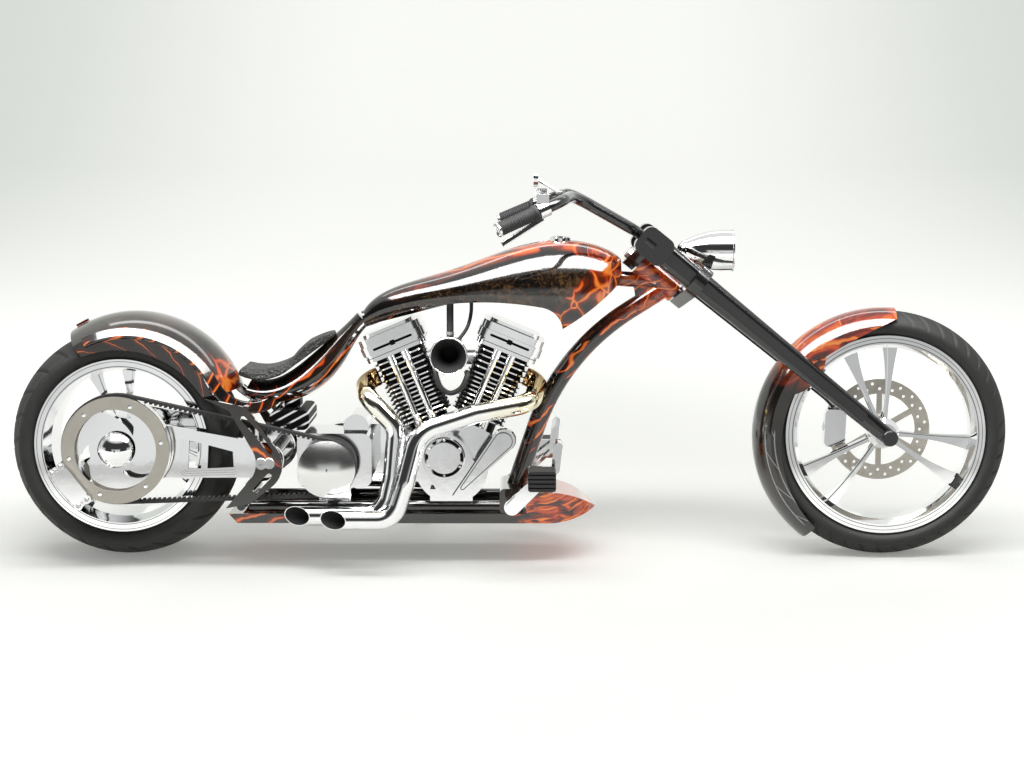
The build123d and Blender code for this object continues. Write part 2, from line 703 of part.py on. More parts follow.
down_bend = Vector(down_bend_x, 0, down_bend_z)
down_foot = Vector(down_foot_x, 0, rail_height)
arm_low = 134.0
arm_high = 145.0
with BuildPart() as cradle:
    with BuildLine() as down_path:
        FilletPolyline(head_low_joint, down_bend, down_foot, radius=down_bend_radius)
    with BuildSketch(Plane(origin=head_low_joint, z_dir=down_bend - head_low_joint)):
        Circle(down_tube_radius)
    sweep(path=down_path.line)
    add(frame_top.part, mode=Mode.SUBTRACT)
    with BuildSketch(fork_plane(head_middle - head_length / 2)):
        Circle(stem_radius + running_fit)
    extrude(amount=head_length, mode=Mode.SUBTRACT)
    with BuildSketch(side_plane(0)):
        with Locations((down_foot_x, (member_low + member_top) / 2)):
            RectangleRounded(member_long, member_top - member_low, 14)
    extrude(amount=rail_right + rail_radius, both=True)
    for right in (rail_right, -rail_right):
        with BuildSketch(Plane(origin=(down_foot_x, -right, rail_height), z_dir=(-1, 0, 0))):
            Circle(rail_radius)
        extrude(amount=down_foot_x - rail_end_x - cross_tube_radius - seat_gap)
    with Locations((stand_x, (rail_right + stand_left - 18) / 2, (arm_low + arm_high) / 2)):
        Box(44, stand_left - 18 - rail_right, arm_high - arm_low)
cradle_solid = cradle.part.solids().sort_by(SortBy.VOLUME)[-1]

# Side stand: the leg swings on a pin square to both its parked and its folded direction
crown_lift = rear_crown_radius * (1 - cos(radians(lean)))
floor_up = Vector(0, -sin(radians(lean)), cos(radians(lean)))
stand_pivot = Vector(stand_x, stand_left, stand_z)
foot_floor = (stand_foot_left * sin(radians(lean)) - crown_lift) / cos(radians(lean))
stand_foot = Vector(stand_x + stand_foot_ahead, stand_foot_left, foot_floor)
stand_down = (stand_foot - stand_pivot).normalized()
stand_folded = Vector(-1, 0.12, 0.06).normalized()
stand_axis = stand_down.cross(stand_folded).normalized()
eye_radius = 17.0
eye_half = 12.0
pin_radius = 8.0
pin_fit = 0.1
pad_thickness = 6.0
with BuildPart() as frame_cradle:
    add(cradle_solid)
    with BuildSketch(Plane(origin=stand_pivot - stand_axis * (eye_half + 10), z_dir=stand_axis)):
        Circle(eye_radius)
    extrude(amount=10 - seat_gap)
    with BuildSketch(Plane(origin=stand_pivot - stand_axis * (eye_half + 5), z_dir=stand_axis)):
        Circle(pin_radius)
    extrude(amount=2 * eye_half + 5 + seat_gap)
    with BuildSketch(Plane(origin=stand_pivot + stand_axis * (eye_half + seat_gap), z_dir=stand_axis)):
        Circle(pin_radius * 1.6)
    extrude(amount=5)
keep(frame_top, "frame_top")
keep(frame_cradle, "frame_cradle")
with BuildPart() as stand:
    with BuildSketch(Plane(origin=stand_pivot - stand_axis * eye_half, z_dir=stand_axis)):
        Circle(eye_radius)
    extrude(amount=2 * eye_half)
    with BuildSketch(Plane(origin=stand_pivot + stand_down * eye_radius * 0.6, z_dir=stand_down)):
        Circle(stand_tube_radius)
    extrude(amount=(stand_foot - stand_pivot).length - eye_radius * 0.6)
    with BuildSketch(Plane(origin=stand_foot, x_dir=(1, 0, 0), z_dir=floor_up)):
        SlotOverall(66, 40)
    extrude(amount=-40, mode=Mode.SUBTRACT)
    with BuildSketch(Plane(origin=stand_foot, x_dir=(1, 0, 0), z_dir=floor_up)):
        SlotOverall(66, 40)
    extrude(amount=pad_thickness)
    with BuildSketch(Plane(origin=stand_pivot - stand_axis * eye_half, z_dir=stand_axis)):
        Circle(pin_radius + pin_fit)
    extrude(amount=2 * eye_half, mode=Mode.SUBTRACT)
keep(stand, "side_stand")

# Side plates and the tubes that join them across the machine
with BuildPart() as side_plates:
    with BuildSketch(side_plane(plate_right)):
        with BuildLine():
            Polyline((245, 472), (318, 436), (378, 330))
            ThreePointArc((378, 330), (390, 290), (378, 250))
            Polyline((378, 250), (304, 163), (372, 176), (436, 226))
            ThreePointArc((436, 226), (463, 288), (440, 340))
            Polyline((440, 340), (366, 446), (245, 472))
        make_face()
        for x, z, slot_long, turn in ((375, 394, 70, -48), (416, 342, 62, -55), (407, 234, 70, 46)):
            with Locations(Location((x, z, 0), (0, 0, turn))):
                SlotOverall(slot_long, 15, mode=Mode.SUBTRACT)
    extrude(amount=plate_thickness)
    mirror(about=Plane.XZ)
keep(side_plates, "side_plates")
cross_table = [
    # x, z, radius
    (356.0, 432.0, cross_tube_radius),
    (pivot_x, pivot_z, 19.0),
    (rail_end_x, rail_height + 14, cross_tube_radius),
]
with BuildPart() as cross_tubes:
    for x, z, radius in cross_table:
        with BuildSketch(side_plane(-plate_right + seat_gap)):
            with Locations((x, z)):
                Circle(radius)
        extrude(amount=2 * plate_right - 2 * seat_gap)
keep(cross_tubes, "cross_tubes")

# Spine under the seat: few oval sections from the tank's tail to the fender
spine_table = [
    # x, z, slope, half depth, half width
    (tail_x, tail_z, 45.0, 24.0, 26.0),
    (602.0, 590.0, 50.0, 36.0, 40.0),
    (518.0, 508.0, 38.0, 44.0, 68.0),
    (424.0, 470.0, 8.0, 34.0, 92.0),
    (352.0, 480.0, -16.0, 26.0, 100.0),
]
with BuildPart() as spine:
    for x, z, slope, deep, wide in spine_table:
        way = Vector(-cos(radians(slope)), 0, -sin(radians(slope)))
        with BuildSketch(Plane(origin=(x, 0, z), x_dir=(0, 1, 0), z_dir=way)):
            Ellipse(wide, deep)
    loft()
    add(frame_top.part, mode=Mode.SUBTRACT)
    add(cross_tubes.part, mode=Mode.SUBTRACT)
keep(spine, "seat_spine")

# Rear fender: a tighter hoop than the tyre, trimmed by its side outline
rear_fender_x = 28.0
rear_fender_z = 376.0
rear_fender_radius = 322.0
rear_fender_half = 135.0
rear_fender_shoulder = 44.0
rear_fender_wall = 4.0
rear_skirt = 272.0
hoop_centre = Vector(rear_fender_x, 0, rear_fender_z)
with BuildPart() as rear_fender:
    with BuildSketch(hoop_plane(hoop_centre, 16)):
        add(hoop_face(rear_fender_half, rear_fender_radius, rear_fender_shoulder, 190))
        add(hoop_face(rear_fender_half - rear_fender_wall, rear_fender_radius - rear_fender_wall,
                      rear_fender_shoulder, 180), mode=Mode.SUBTRACT)
    revolve(axis=Axis(hoop_centre, (0, 1, 0)), revolution_arc=-110)
    with BuildSketch(Plane.XZ):
        with BuildLine():
            tail_low = ray(rear_axle, rear_skirt, 112)
            nose_low = ray(rear_axle, rear_skirt, 31)
            Line(tail_low, (-170, 668))
            Line((-170, 668), (-170, 760))
            Line((-170, 760), (420, 760))
            Line((420, 760), (420, 500))
            Line((420, 500), nose_low)
            ThreePointArc(nose_low, ray(rear_axle, rear_skirt, 70), tail_low)
        make_face()
    extrude(amount=200, both=True, mode=Mode.INTERSECT)
keep(rear_fender, "rear_fender")
strut_wide = 34.0
strut_thick = 14.0
strut_corner = 5.0
strut_tilt = 38.0
strut_hoop = 272.0
strut_reach = (strut_corner + (strut_wide / 2 - strut_corner) * sin(radians(strut_tilt))
               + (strut_thick / 2 - strut_corner) * cos(radians(strut_tilt)))
strut_right = rear_fender_half + strut_reach + seat_gap
strut_start = ray(hoop_centre, strut_hoop, 116)
strut_top = ray(hoop_centre, strut_hoop, 75)
strut_turn = ray(hoop_centre, strut_hoop, 28)
with BuildPart() as struts:
    with BuildLine() as strut_path:
        hoop_arc = ThreePointArc((strut_start[0], -strut_right, strut_start[1]),
                                 (strut_top[0], -strut_right, strut_top[1]),
                                 (strut_turn[0], -strut_right, strut_turn[1]))
        TangentArc(hoop_arc @ 1, (430, -70, 455), tangent=hoop_arc % 1)
    with BuildSketch(Plane(origin=hoop_arc @ 0, x_dir=(0, -1, 0), z_dir=hoop_arc % 0)):
        RectangleRounded(strut_thick, strut_wide, strut_corner, rotation=-strut_tilt)
    sweep(path=strut_path.line)
    mirror(about=Plane.XZ)
    add(spine.part, mode=Mode.SUBTRACT)
    add(cross_tubes.part, mode=Mode.SUBTRACT)
    add(side_plates.part, mode=Mode.SUBTRACT)
    add(rear_fender.part, mode=Mode.SUBTRACT)
keep(struts, "fender_struts")

# Fuel tank: oval sections along the machine, trimmed by the side outline and hollowed for the main tube
tank_table = [
    # x, middle height, half height, half width
    (tail_x + 4, 677.0, 27.0, 28.0),
    (800.0, 728.0, 50.0, 66.0),
    (1000.0, 758.0, 84.0, 106.0),
    (1220.0, 764.0, 136.0, 124.0),
    (1350.0, 772.0, 110.0, 100.0),
    (1408.0, 806.0, 40.0, 46.0),
]
tunnel_gap = seat_gap
with BuildPart() as tank:
    for x, middle, high, wide in tank_table:
        with BuildSketch(Plane(origin=(x, 0, middle), x_dir=(0, 1, 0), z_dir=(1, 0, 0))):
            Ellipse(wide, high)
    loft()
    with BuildSketch(Plane.XZ):
        with BuildLine():
            Polyline((tail_x - 20, 640), (tail_x + 16, 652), (774, 692))
            ThreePointArc((774, 692), (1029, 730), (1184, 716))
            ThreePointArc((1184, 716), (1224, 694), (1242, 652))
            ThreePointArc((1242, 652), (1330, 716), (1420, 800))
            Polyline((1420, 800), (1420, 930), (tail_x - 20, 930), (tail_x - 20, 640))
        make_face()
    extrude(amount=200, both=True, mode=Mode.INTERSECT)
    with BuildLine() as tunnel_path:
        FilletPolyline(head_top_joint, main_bend, tail, radius=main_bend_radius)
    with BuildSketch(Plane(origin=head_top_joint, z_dir=main_bend - head_top_joint)):
        Circle(main_tube_radius + tunnel_gap)
    sweep(path=tunnel_path.line, mode=Mode.SUBTRACT)
    add(spine.part, mode=Mode.SUBTRACT)
keep(tank, "fuel_tank")
cap_x = 1236.0
filler_radius = 30.0
filler_height = 10.0
filler_base = 896.0
with BuildPart() as filler:
    with Locations((cap_x, 0, filler_base)):
        Cylinder(filler_radius, 2 * filler_height)
    add(tank.part, mode=Mode.SUBTRACT)
filler_solid = filler.part.solids().sort_by(Axis.Z)[-1]
with BuildPart() as fuel_cap:
    add(filler_solid)
keep(fuel_cap, "fuel_cap")

# Seat: a soft pad on the spine, dipping behind the tank and curling up to the fender
seat_half_width = 104.0
seat_nose_half_width = 34.0
with BuildPart() as seat:
    with BuildSketch(Plane.XZ):
        with BuildLine():
            Line((324, 524), (334, 544))
            ThreePointArc((334, 544), (408, 537), (480, 566))
            ThreePointArc((480, 566), (540, 622), (594, 644))
            Line((594, 644), (600, 628))
            ThreePointArc((600, 628), (520, 570), (456, 524))
            ThreePointArc((456, 524), (390, 508), (324, 524))
        make_face()
    extrude(amount=seat_half_width, both=True)
    with BuildSketch(Plane.XY.offset(400)):
        with BuildLine():
            Polyline((310, -92), (310, 92), (360, seat_half_width))
            ThreePointArc((360, seat_half_width), (480, 86), (610, seat_nose_half_width))
            Line((610, seat_nose_half_width), (610, -seat_nose_half_width))
            ThreePointArc((610, -seat_nose_half_width), (480, -86), (360, -seat_half_width))
            Line((360, -seat_half_width), (310, -92))
        make_face()
    extrude(amount=400, mode=Mode.INTERSECT)
    add(spine.part, mode=Mode.SUBTRACT)
    add(rear_fender.part, mode=Mode.SUBTRACT)
seat_solid = seat.part.solids().sort_by(SortBy.VOLUME)[-1]
with BuildPart() as seat_pad:
    add(seat_solid)
keep(seat_pad, "seat")

# Oil tank under the seat and belly pan under the engine
with BuildPart() as oil_tank:
    with BuildSketch(Plane.XZ):
        with Locations((474, 398)):
            RectangleRounded(110, 56, 18)
    extrude(amount=108, both=True)
    with BuildSketch(Plane.XZ):
        with Locations((474, 426)):
            Rectangle(46, 60)
    extrude(amount=30, both=True)
    add(spine.part, mode=Mode.SUBTRACT)
oil_solid = oil_tank.part.solids().sort_by(SortBy.VOLUME)[-1]
with BuildPart() as oil:
    add(oil_solid)
keep(oil, "oil_tank")
pan_half_width = 118.0
pan_floor = 106.0
pan_edge = 133.0
pan_wall = 4.0
pan_rear = 300.0
pan_nose = 1339.0
with BuildPart() as belly_pan:
    with BuildSketch(Plane.XZ):
        with BuildLine():
            Polyline((pan_rear, pan_edge), (pan_rear + 24, pan_floor), (1190, pan_floor))
            ThreePointArc((1190, pan_floor), (1272, 114), (pan_nose, 138))
            ThreePointArc((pan_nose, 138), (1290, 172), (1224, 192))
            Polyline((1224, 192), (1140, 192), (1140, pan_edge), (pan_rear, pan_edge))
        make_face()
    extrude(amount=pan_half_width, both=True)
    with BuildSketch(Plane.XY):
        with BuildLine():
            Line((pan_rear - 20, -pan_half_width), (pan_rear - 20, pan_half_width))
            Line((pan_rear - 20, pan_half_width), (1170, pan_half_width))
            ThreePointArc((1170, pan_half_width), (1290, 80), (pan_nose + 1, 0))
            ThreePointArc((pan_nose + 1, 0), (1290, -80), (1170, -pan_half_width))
            Line((1170, -pan_half_width), (pan_rear - 20, -pan_half_width))
        make_face()
    extrude(amount=300, mode=Mode.INTERSECT)
    for start, stop in ((340.0, 600.0), (624.0, 880.0), (904.0, 1130.0)):
        with Locations(((start + stop) / 2, 0, pan_floor + pan_wall + 50)):
            Box(stop - start, 2 * pan_half_width - 2 * pan_wall, 100, mode=Mode.SUBTRACT)
    for x in (612.0, 892.0):
        for y in (rail_right, -rail_right):
            with Locations((x, y, pan_edge + 1)):
                Box(24, 20, 2 * (rail_height - rail_radius - seat_gap - pan_edge - 1))
    for y in (rail_right, -rail_right):
        with BuildSketch(Plane(origin=(0, y, rail_height), z_dir=(1, 0, 0))):
            Circle(rail_radius + seat_gap)
        extrude(amount=down_foot_x, mode=Mode.SUBTRACT)
keep(belly_pan, "belly_pan")

# Engine: crankcase with its cam chest, then the two finned cylinders, rocker boxes and push-rod tubes
case_radius = 104.0
deck_half = 74.0
cam_x = 911.0
cam_z = 298.0
cam_radius = 66.0
lifter_half = 34.0
lifter_top = 176.0
chest_right = case_half_width + cam_chest_depth
with BuildPart() as crankcase:
    with BuildSketch(side_plane(-case_half_width)):
        with Locations((crank_x, crank_z + 40)):
            Circle(case_radius)
        for tilt in (cylinder_lean, -cylinder_lean):
            up = Vector(sin(radians(tilt)), 0, cos(radians(tilt)))
            middle = crank + up * deck_height / 2
            with Locations(Location((middle.X, middle.Z, 0), (0, 0, -tilt))):
                Rectangle(2 * deck_half, deck_height)
    extrude(amount=2 * case_half_width)
    with BuildSketch(side_plane(case_half_width)):
        with Locations((cam_x, cam_z)):
            Circle(cam_radius)
        with Locations((crank_x + 12, crank_z + 26)):
            Circle(cam_radius)
        make_hull()
        for tilt in (cylinder_lean, -cylinder_lean):
            up = Vector(sin(radians(tilt)), 0, cos(radians(tilt)))
            middle = crank + up * lifter_top / 2
            with Locations(Location((middle.X, middle.Z, 0), (0, 0, -tilt))):
                Rectangle(2 * lifter_half, lifter_top)
    extrude(amount=cam_chest_depth * 0.5)
    with BuildSketch(side_plane(case_half_width)):
        with Locations((cam_x, cam_z)):
            Circle(cam_radius)
        with Locations((crank_x + 12, crank_z + 26)):
            Circle(cam_radius)
        make_hull()
    extrude(amount=cam_chest_depth)
    for y in (rail_right, -rail_right):
        with Locations((crank_x, (abs(y) + case_half_width) / 2 * (1 if y > 0 else -1),
                        rail_height + rail_radius + seat_gap + 17)):
            Box(120, abs(y) - case_half_width + 24, 34)
keep(crankcase, "crankcase")

fin_count = 10
first_fin = 28.0
fin_thickness = 4.0
fin_long = 158.0
fin_wide = 138.0
fin_corner = 30.0
barrel_radius = 58.0
head_fins = 4
with BuildPart() as cylinders:
    for tilt in (cylinder_lean, -cylinder_lean):
        with BuildSketch(cylinder_plane(tilt, deck_height)):
            Circle(barrel_radius)
        extrude(amount=rocker_deck - deck_height)
        with BuildSketch(cylinder_plane(tilt, head_deck)):
            RectangleRounded(fin_long * 0.86, fin_wide * 0.86, fin_corner * 0.6)
        extrude(amount=rocker_deck - head_deck)
        fin_pitch = (head_deck - deck_height - first_fin - 10) / (fin_count - 1)
        for number in range(fin_count):
            with BuildSketch(cylinder_plane(tilt, deck_height + first_fin + number * fin_pitch)):
                RectangleRounded(fin_long, fin_wide, fin_corner)
            extrude(amount=fin_thickness)
        head_pitch = (rocker_deck - head_deck - 8) / head_fins
        for number in range(head_fins):
            with BuildSketch(cylinder_plane(tilt, head_deck + 8 + number * head_pitch)):
                RectangleRounded(fin_long, fin_wide, fin_corner)
            extrude(amount=fin_thickness)
keep(cylinders, "cylinders")

rocker_table = [
    # lift above the deck, height, length, width, corner
    (0.0, 20.0, 178.0, 188.0, 22.0),
    (20.0, 26.0, 190.0, 192.0, 26.0),
    (46.0, 22.0, 184.0, 186.0, 26.0),
    (68.0, 10.0, 150.0, 150.0, 24.0),
]
rocker_slot_lift = 33.0
rocker_slot_right = 92.0
rocker_slot_long = 118.0
rocker_slot_high = 7.0
with BuildPart() as rocker_boxes:
    for tilt in (cylinder_lean, -cylinder_lean):
        for lift, high, long, wide, corner in rocker_table:
            with BuildSketch(cylinder_plane(tilt, rocker_deck + lift)):
                RectangleRounded(long, wide, corner)
            extrude(amount=high)
        slot_base = cylinder_plane(tilt, rocker_deck + rocker_slot_lift)
        with BuildSketch(Plane(origin=slot_base.origin - across * rocker_slot_right, x_dir=slot_base.x_dir,
                               z_dir=(0, -1, 0))):
            SlotOverall(rocker_slot_long, rocker_slot_high)
            Rectangle(2 * rocker_slot_high, 2 * rocker_slot_high)
        extrude(amount=2 * rocker_slot_high, mode=Mode.SUBTRACT)
keep(rocker_boxes, "rocker_boxes")

tube_radius = 10.0
tube_right = 82.0
tube_spread = 21.0
collar_long = 24.0
with BuildPart() as pushrods:
    for tilt in (cylinder_lean, -cylinder_lean):
        for start, stop, radius in ((lifter_top, rocker_deck, tube_radius),
                                    (lifter_top, lifter_top + collar_long, tube_radius + 2.5),
                                    (rocker_deck - collar_long, rocker_deck, tube_radius + 2.5)):
            with BuildSketch(cylinder_plane(tilt, start)):
                with Locations((tube_spread, -tube_right), (-tube_spread, -tube_right)):
                    Circle(radius)
            extrude(amount=stop - start)
keep(pushrods, "pushrod_tubes")
cover_table = [
    # right, depth, taper, then x, z, radius of one end and of the other
    (chest_right, 12.0, 12.0, (cam_x, cam_z, 58.0), (cam_x, cam_z, 58.0)),
    (chest_right + 12, 6.0, 0.0, (cam_x, cam_z, 44.0), (cam_x, cam_z, 44.0)),
    (chest_right, 14.0, 10.0, (1078.0, 348.0, 34.0), (941.0, 190.0, 8.0)),
    (chest_right + 14, 4.0, 0.0, (1076.0, 346.0, 23.0), (962.0, 214.0, 3.0)),
]
with BuildPart() as covers:
    for right, depth, taper, one, other in cover_table:
        with BuildSketch(side_plane(right)):
            for x, z, radius in (one, other):
                with Locations((x, z)):
                    Circle(radius)
            make_hull()
        extrude(amount=depth, taper=taper)
keep(covers, "engine_covers")

# Intake: manifold and carburettor in the vee, with a flared horn facing right
horn_x = 926.0
horn_z = 590.0
horn_mouth = 52.0
horn_throat = 26.0
horn_start = 112.0
horn_end = 204.0
horn_wall = 3.0
with BuildPart() as intake:
    with BuildSketch(Plane(origin=(horn_x - 82, 0, horn_z - 24), z_dir=(1, 0, 0))):
        Circle(21)
    extrude(amount=168)
    with Locations((horn_x, -horn_start / 2 - 2, horn_z)):
        Box(62, horn_start - 4, 66)
    add(cylinders.part, mode=Mode.SUBTRACT)
    add(rocker_boxes.part, mode=Mode.SUBTRACT)
intake_solid = intake.part.solids().sort_by(SortBy.VOLUME)[-1]
with BuildPart() as carburettor:
    add(intake_solid)
keep(carburettor, "carburettor")
with BuildPart() as horn:
    with BuildSketch(Plane(origin=(horn_x, 0, horn_z), x_dir=(0, -1, 0), z_dir=(-1, 0, 0))):
        with BuildLine():
            Line((horn_start, horn_throat - horn_wall), (horn_start, horn_throat))
            ThreePointArc((horn_start, horn_throat), (horn_start + 62, horn_throat + 8), (horn_end, horn_mouth))
            Line((horn_end, horn_mouth), (horn_end, horn_mouth - horn_wall))
            ThreePointArc((horn_end, horn_mouth - horn_wall), (horn_start + 62, horn_throat + 8 - horn_wall),
                          (horn_start, horn_throat - horn_wall))
        make_face()
    revolve(axis=Axis((horn_x, 0, horn_z), (0, 1, 0)))
keep(horn, "intake_horn")

# Exhausts: one bent tube from each head, cut aslant at the end so that the mouth faces right
pipe_radius = 27.0
pipe_wall = 2.5
port_height = 352.0
port_right = 34.0
port_reach = 44.0
slash_angle = 35.0
pipe_table = [
    # name, tilt, side of the head, where the mouth's middle is, then corners x, right, height, bend radius
    ("exhaust_front", cylinder_lean, 1.0, 606.0,
     ((1152.0, 196.0, 458.0, 60.0), (1000.0, 204.0, 430.0, 90.0), (842.0, 222.0, 380.0, 90.0),
      (806.0, 240.0, 240.0, 110.0), (772.0, 240.0, 138.0, 60.0), (440.0, 240.0, 138.0, 0.0))),
    ("exhaust_rear", -cylinder_lean, -1.0, 500.0,
     ((700.0, 172.0, 470.0, 44.0), (780.0, 176.0, 388.0, 60.0), (768.0, 178.0, 250.0, 110.0),
      (742.0, 178.0, 138.0, 70.0), (330.0, 178.0, 138.0, 0.0))),
]
for name, tilt, side, mouth, corners in pipe_table:
    port = cylinder_plane(tilt, port_height)
    start = port.origin + port.x_dir * side * (fin_long / 2 + seat_gap) - across * port_right
    first = start + port.x_dir * side * port_reach
    points = [start, first] + [Vector(x, -right, z) for x, right, z, bend in corners]
    radii = [38.0] + [bend for x, right, z, bend in corners[:-1]]
    last = points[-1]
    slash = Plane(origin=(mouth, last.Y, last.Z),
                  z_dir=(-sin(radians(slash_angle)), -cos(radians(slash_angle)), 0))
    with BuildPart() as pipe:
        with BuildLine() as pipe_path:
            FilletPolyline(*points, radius=radii)
        with BuildSketch(Plane(origin=start, z_dir=first - start)):
            Circle(pipe_radius)
            Circle(pipe_radius - pipe_wall, mode=Mode.SUBTRACT)
        sweep(path=pipe_path.line)
        split(bisect_by=slash, keep=Keep.BOTTOM)
    keep(pipe, name)

# Gearbox with its starter, the primary cover on the left and the pulley under its domed cover on the right
box_front = 704.0
box_rear = 494.0
box_low = 206.0
box_top = 360.0
box_right = 106.0
primary_radius = 92.0
primary_inner = case_half_width
primary_depth = 52.0
with BuildPart() as gearbox:
    with BuildSketch(side_plane(-primary_inner + seat_gap)):
        with Locations(((box_front + box_rear) / 2, (box_low + box_top) / 2)):
            RectangleRounded(box_front - box_rear, box_top - box_low, 26)
    extrude(amount=primary_inner - seat_gap + box_right)
    with BuildSketch(side_plane(-primary_inner + seat_gap)):
        with Locations((box_front - 46, box_top + 14)):
            Circle(36)
    extrude(amount=primary_inner + 70)
    for y in (rail_right, -rail_right):
        foot_low = rail_height + rail_radius + seat_gap
        with Locations(((box_front + box_rear) / 2, y * 0.8, (foot_low + box_low + 20) / 2)):
            Box(90, 44, box_low + 20 - foot_low)
keep(gearbox, "gearbox")
with BuildPart() as primary:
    with BuildSketch(side_plane(-primary_inner - primary_depth)):
        with Locations((crank_x, crank_z + 44)):
            Circle(primary_radius)
        with Locations((box_pulley_x + 25, box_pulley_z)):
            Circle(primary_radius)
        make_hull()
    extrude(amount=primary_depth)
    with BuildSketch(side_plane(-primary_inner - primary_depth)):
        with Locations((box_pulley_x + 25, box_pulley_z)):
            Circle(primary_radius * 0.74)
        with Locations((crank_x, crank_z + 44)):
            Circle(primary_radius * 0.6)
    extrude(amount=-12, taper=14)
    add(crankcase.part, mode=Mode.SUBTRACT)
    add(gearbox.part, mode=Mode.SUBTRACT)
keep(primary, "primary_cover")
box_pulley_centre = Vector(box_pulley_x, 0, box_pulley_z)
with BuildPart() as box_pulley:
    with BuildSketch(wheel_face(box_pulley_centre, box_right + seat_gap)):
        Circle(17)
    extrude(amount=belt_right - box_right - seat_gap)
    with BuildSketch(wheel_face(box_pulley_centre, belt_right)):
        Circle(box_pulley_radius)
    extrude(amount=belt_width)
    with BuildSketch(wheel_face(box_pulley_centre, pulley_outer_right)):
        Circle(24)
    extrude(amount=5)
keep(box_pulley, "gearbox_pulley")
dome_radius = 80.0
dome_right = pulley_outer_right + 5 + seat_gap
dome_depth = 26.0
with BuildPart() as dome:
    with BuildSketch(Plane(origin=box_pulley_centre, x_dir=(0, -1, 0), z_dir=(-1, 0, 0))):
        with BuildLine():
            Polyline((dome_right + dome_depth, 0), (dome_right, 0), (dome_right, dome_radius),
                     (dome_right + 6, dome_radius))
            dome_rise, dome_out = dome_middle(dome_radius, dome_depth - 6)
            ThreePointArc((dome_right + 6, dome_radius), (dome_right + 6 + dome_rise, dome_out),
                          (dome_right + dome_depth, 0))
        make_face()
    revolve(axis=Axis(box_pulley_centre, (0, 1, 0)))
keep(dome, "pulley_cover")

# Drive belt: a band round both pulleys, with its teeth on the two straight runs
reach = hypot(box_pulley_x, box_pulley_z - rear_tyre_radius)
slope = atan2(box_pulley_z - rear_tyre_radius, box_pulley_x)
swing = asin((rear_pulley_radius - box_pulley_radius) / reach)
with BuildSketch() as inside:
    with Locations((0, rear_tyre_radius)):
        Circle(rear_pulley_radius + belt_slack)
    with Locations((box_pulley_x, box_pulley_z)):
        Circle(box_pulley_radius + belt_slack)
    make_hull()
with BuildPart() as belt:
    with BuildSketch(side_plane(belt_right)):
        with Locations((0, rear_tyre_radius)):
            Circle(rear_pulley_radius + belt_slack + belt_thickness)
        with Locations((box_pulley_x, box_pulley_z)):
            Circle(box_pulley_radius + belt_slack + belt_thickness)
        make_hull()
        add(inside.sketch, mode=Mode.SUBTRACT)
        for hand in (1, -1):
            normal = slope + hand * (pi / 2 - swing)
            run = slope - hand * swing
            span = reach * cos(swing)
            lead = sqrt(2 * rear_pulley_radius * belt_tooth_height) + belt_pitch
            tail_off = sqrt(2 * box_pulley_radius * belt_tooth_height) + belt_pitch
            for number in range(int((span - lead - tail_off) / belt_pitch) + 1):
                along = lead + belt_pitch * number
                depth = rear_pulley_radius + belt_slack - belt_tooth_height / 2 + 0.5
                x = depth * cos(normal) + along * cos(run)
                z = rear_tyre_radius + depth * sin(normal) + along * sin(run)
                with Locations(Location((x, z, 0), (0, 0, degrees(run)))):
                    Rectangle(belt_tooth_width, belt_tooth_height + 1)
    extrude(amount=belt_width)
keep(belt, "drive_belt")

# Swing arms and the rear caliper on its lug
arm_axle_radius = 85.0
arm_pivot_radius = 48.0
rear_caliper_angle = 218.0
lug_reach = 174.0
lug_radius = 17.0
arm_step = 6.0
arm_step_depth = 2.0
with BuildPart() as arm_right:
    with BuildSketch(side_plane(arm_inner)):
        with Locations((0, rear_tyre_radius)):
            Circle(arm_axle_radius)
        with Locations((pivot_x, pivot_z)):
            Circle(arm_pivot_radius)
        make_hull()
        with Locations((rear_axle.X, rear_axle.Z)):
            Circle(rear_axle_radius + running_fit, mode=Mode.SUBTRACT)
        Polygon((250, 332), (318, 314), (320, 270), (246, 266), align=None, mode=Mode.SUBTRACT)
        Polygon((196, 346), (232, 337), (228, 266), (192, 266), align=None, mode=Mode.SUBTRACT)
    extrude(amount=arm_thickness)
    for grow, depth in ((arm_step, 3 * arm_step_depth), (2 * arm_step, 2 * arm_step_depth),
                        (3 * arm_step, arm_step_depth)):
        with BuildSketch(side_plane(arm_inner + arm_thickness - depth)):
            Polygon((192, 348), (320, 316), (322, 268), (188, 264), align=None)
            offset(amount=grow)
        extrude(amount=depth, mode=Mode.SUBTRACT)
with BuildPart() as swing_arms:
    add(arm_right.part)
    mirror(about=Plane.XZ)
    with BuildSketch(side_plane(arm_inner)):
        with Locations(ray(rear_axle, arm_axle_radius * 0.6, rear_caliper_angle)):
            Circle(28)
        with Locations(ray(rear_axle, lug_reach, rear_caliper_angle)):
            Circle(lug_radius)
        make_hull()
    extrude(amount=arm_thickness)
    add(cross_tubes.part, mode=Mode.SUBTRACT)
keep(swing_arms, "swing_arms")
caliper_low = 134.0
caliper_high = 186.0
caliper_span = 104.0
caliper_ear_radius = 12.0
caliper_ear_spacing = 30.0
caliper_inner = 186.0
caliper_outer = 218.0
caliper_way = Vector(cos(radians(rear_caliper_angle)), 0, sin(radians(rear_caliper_angle)))
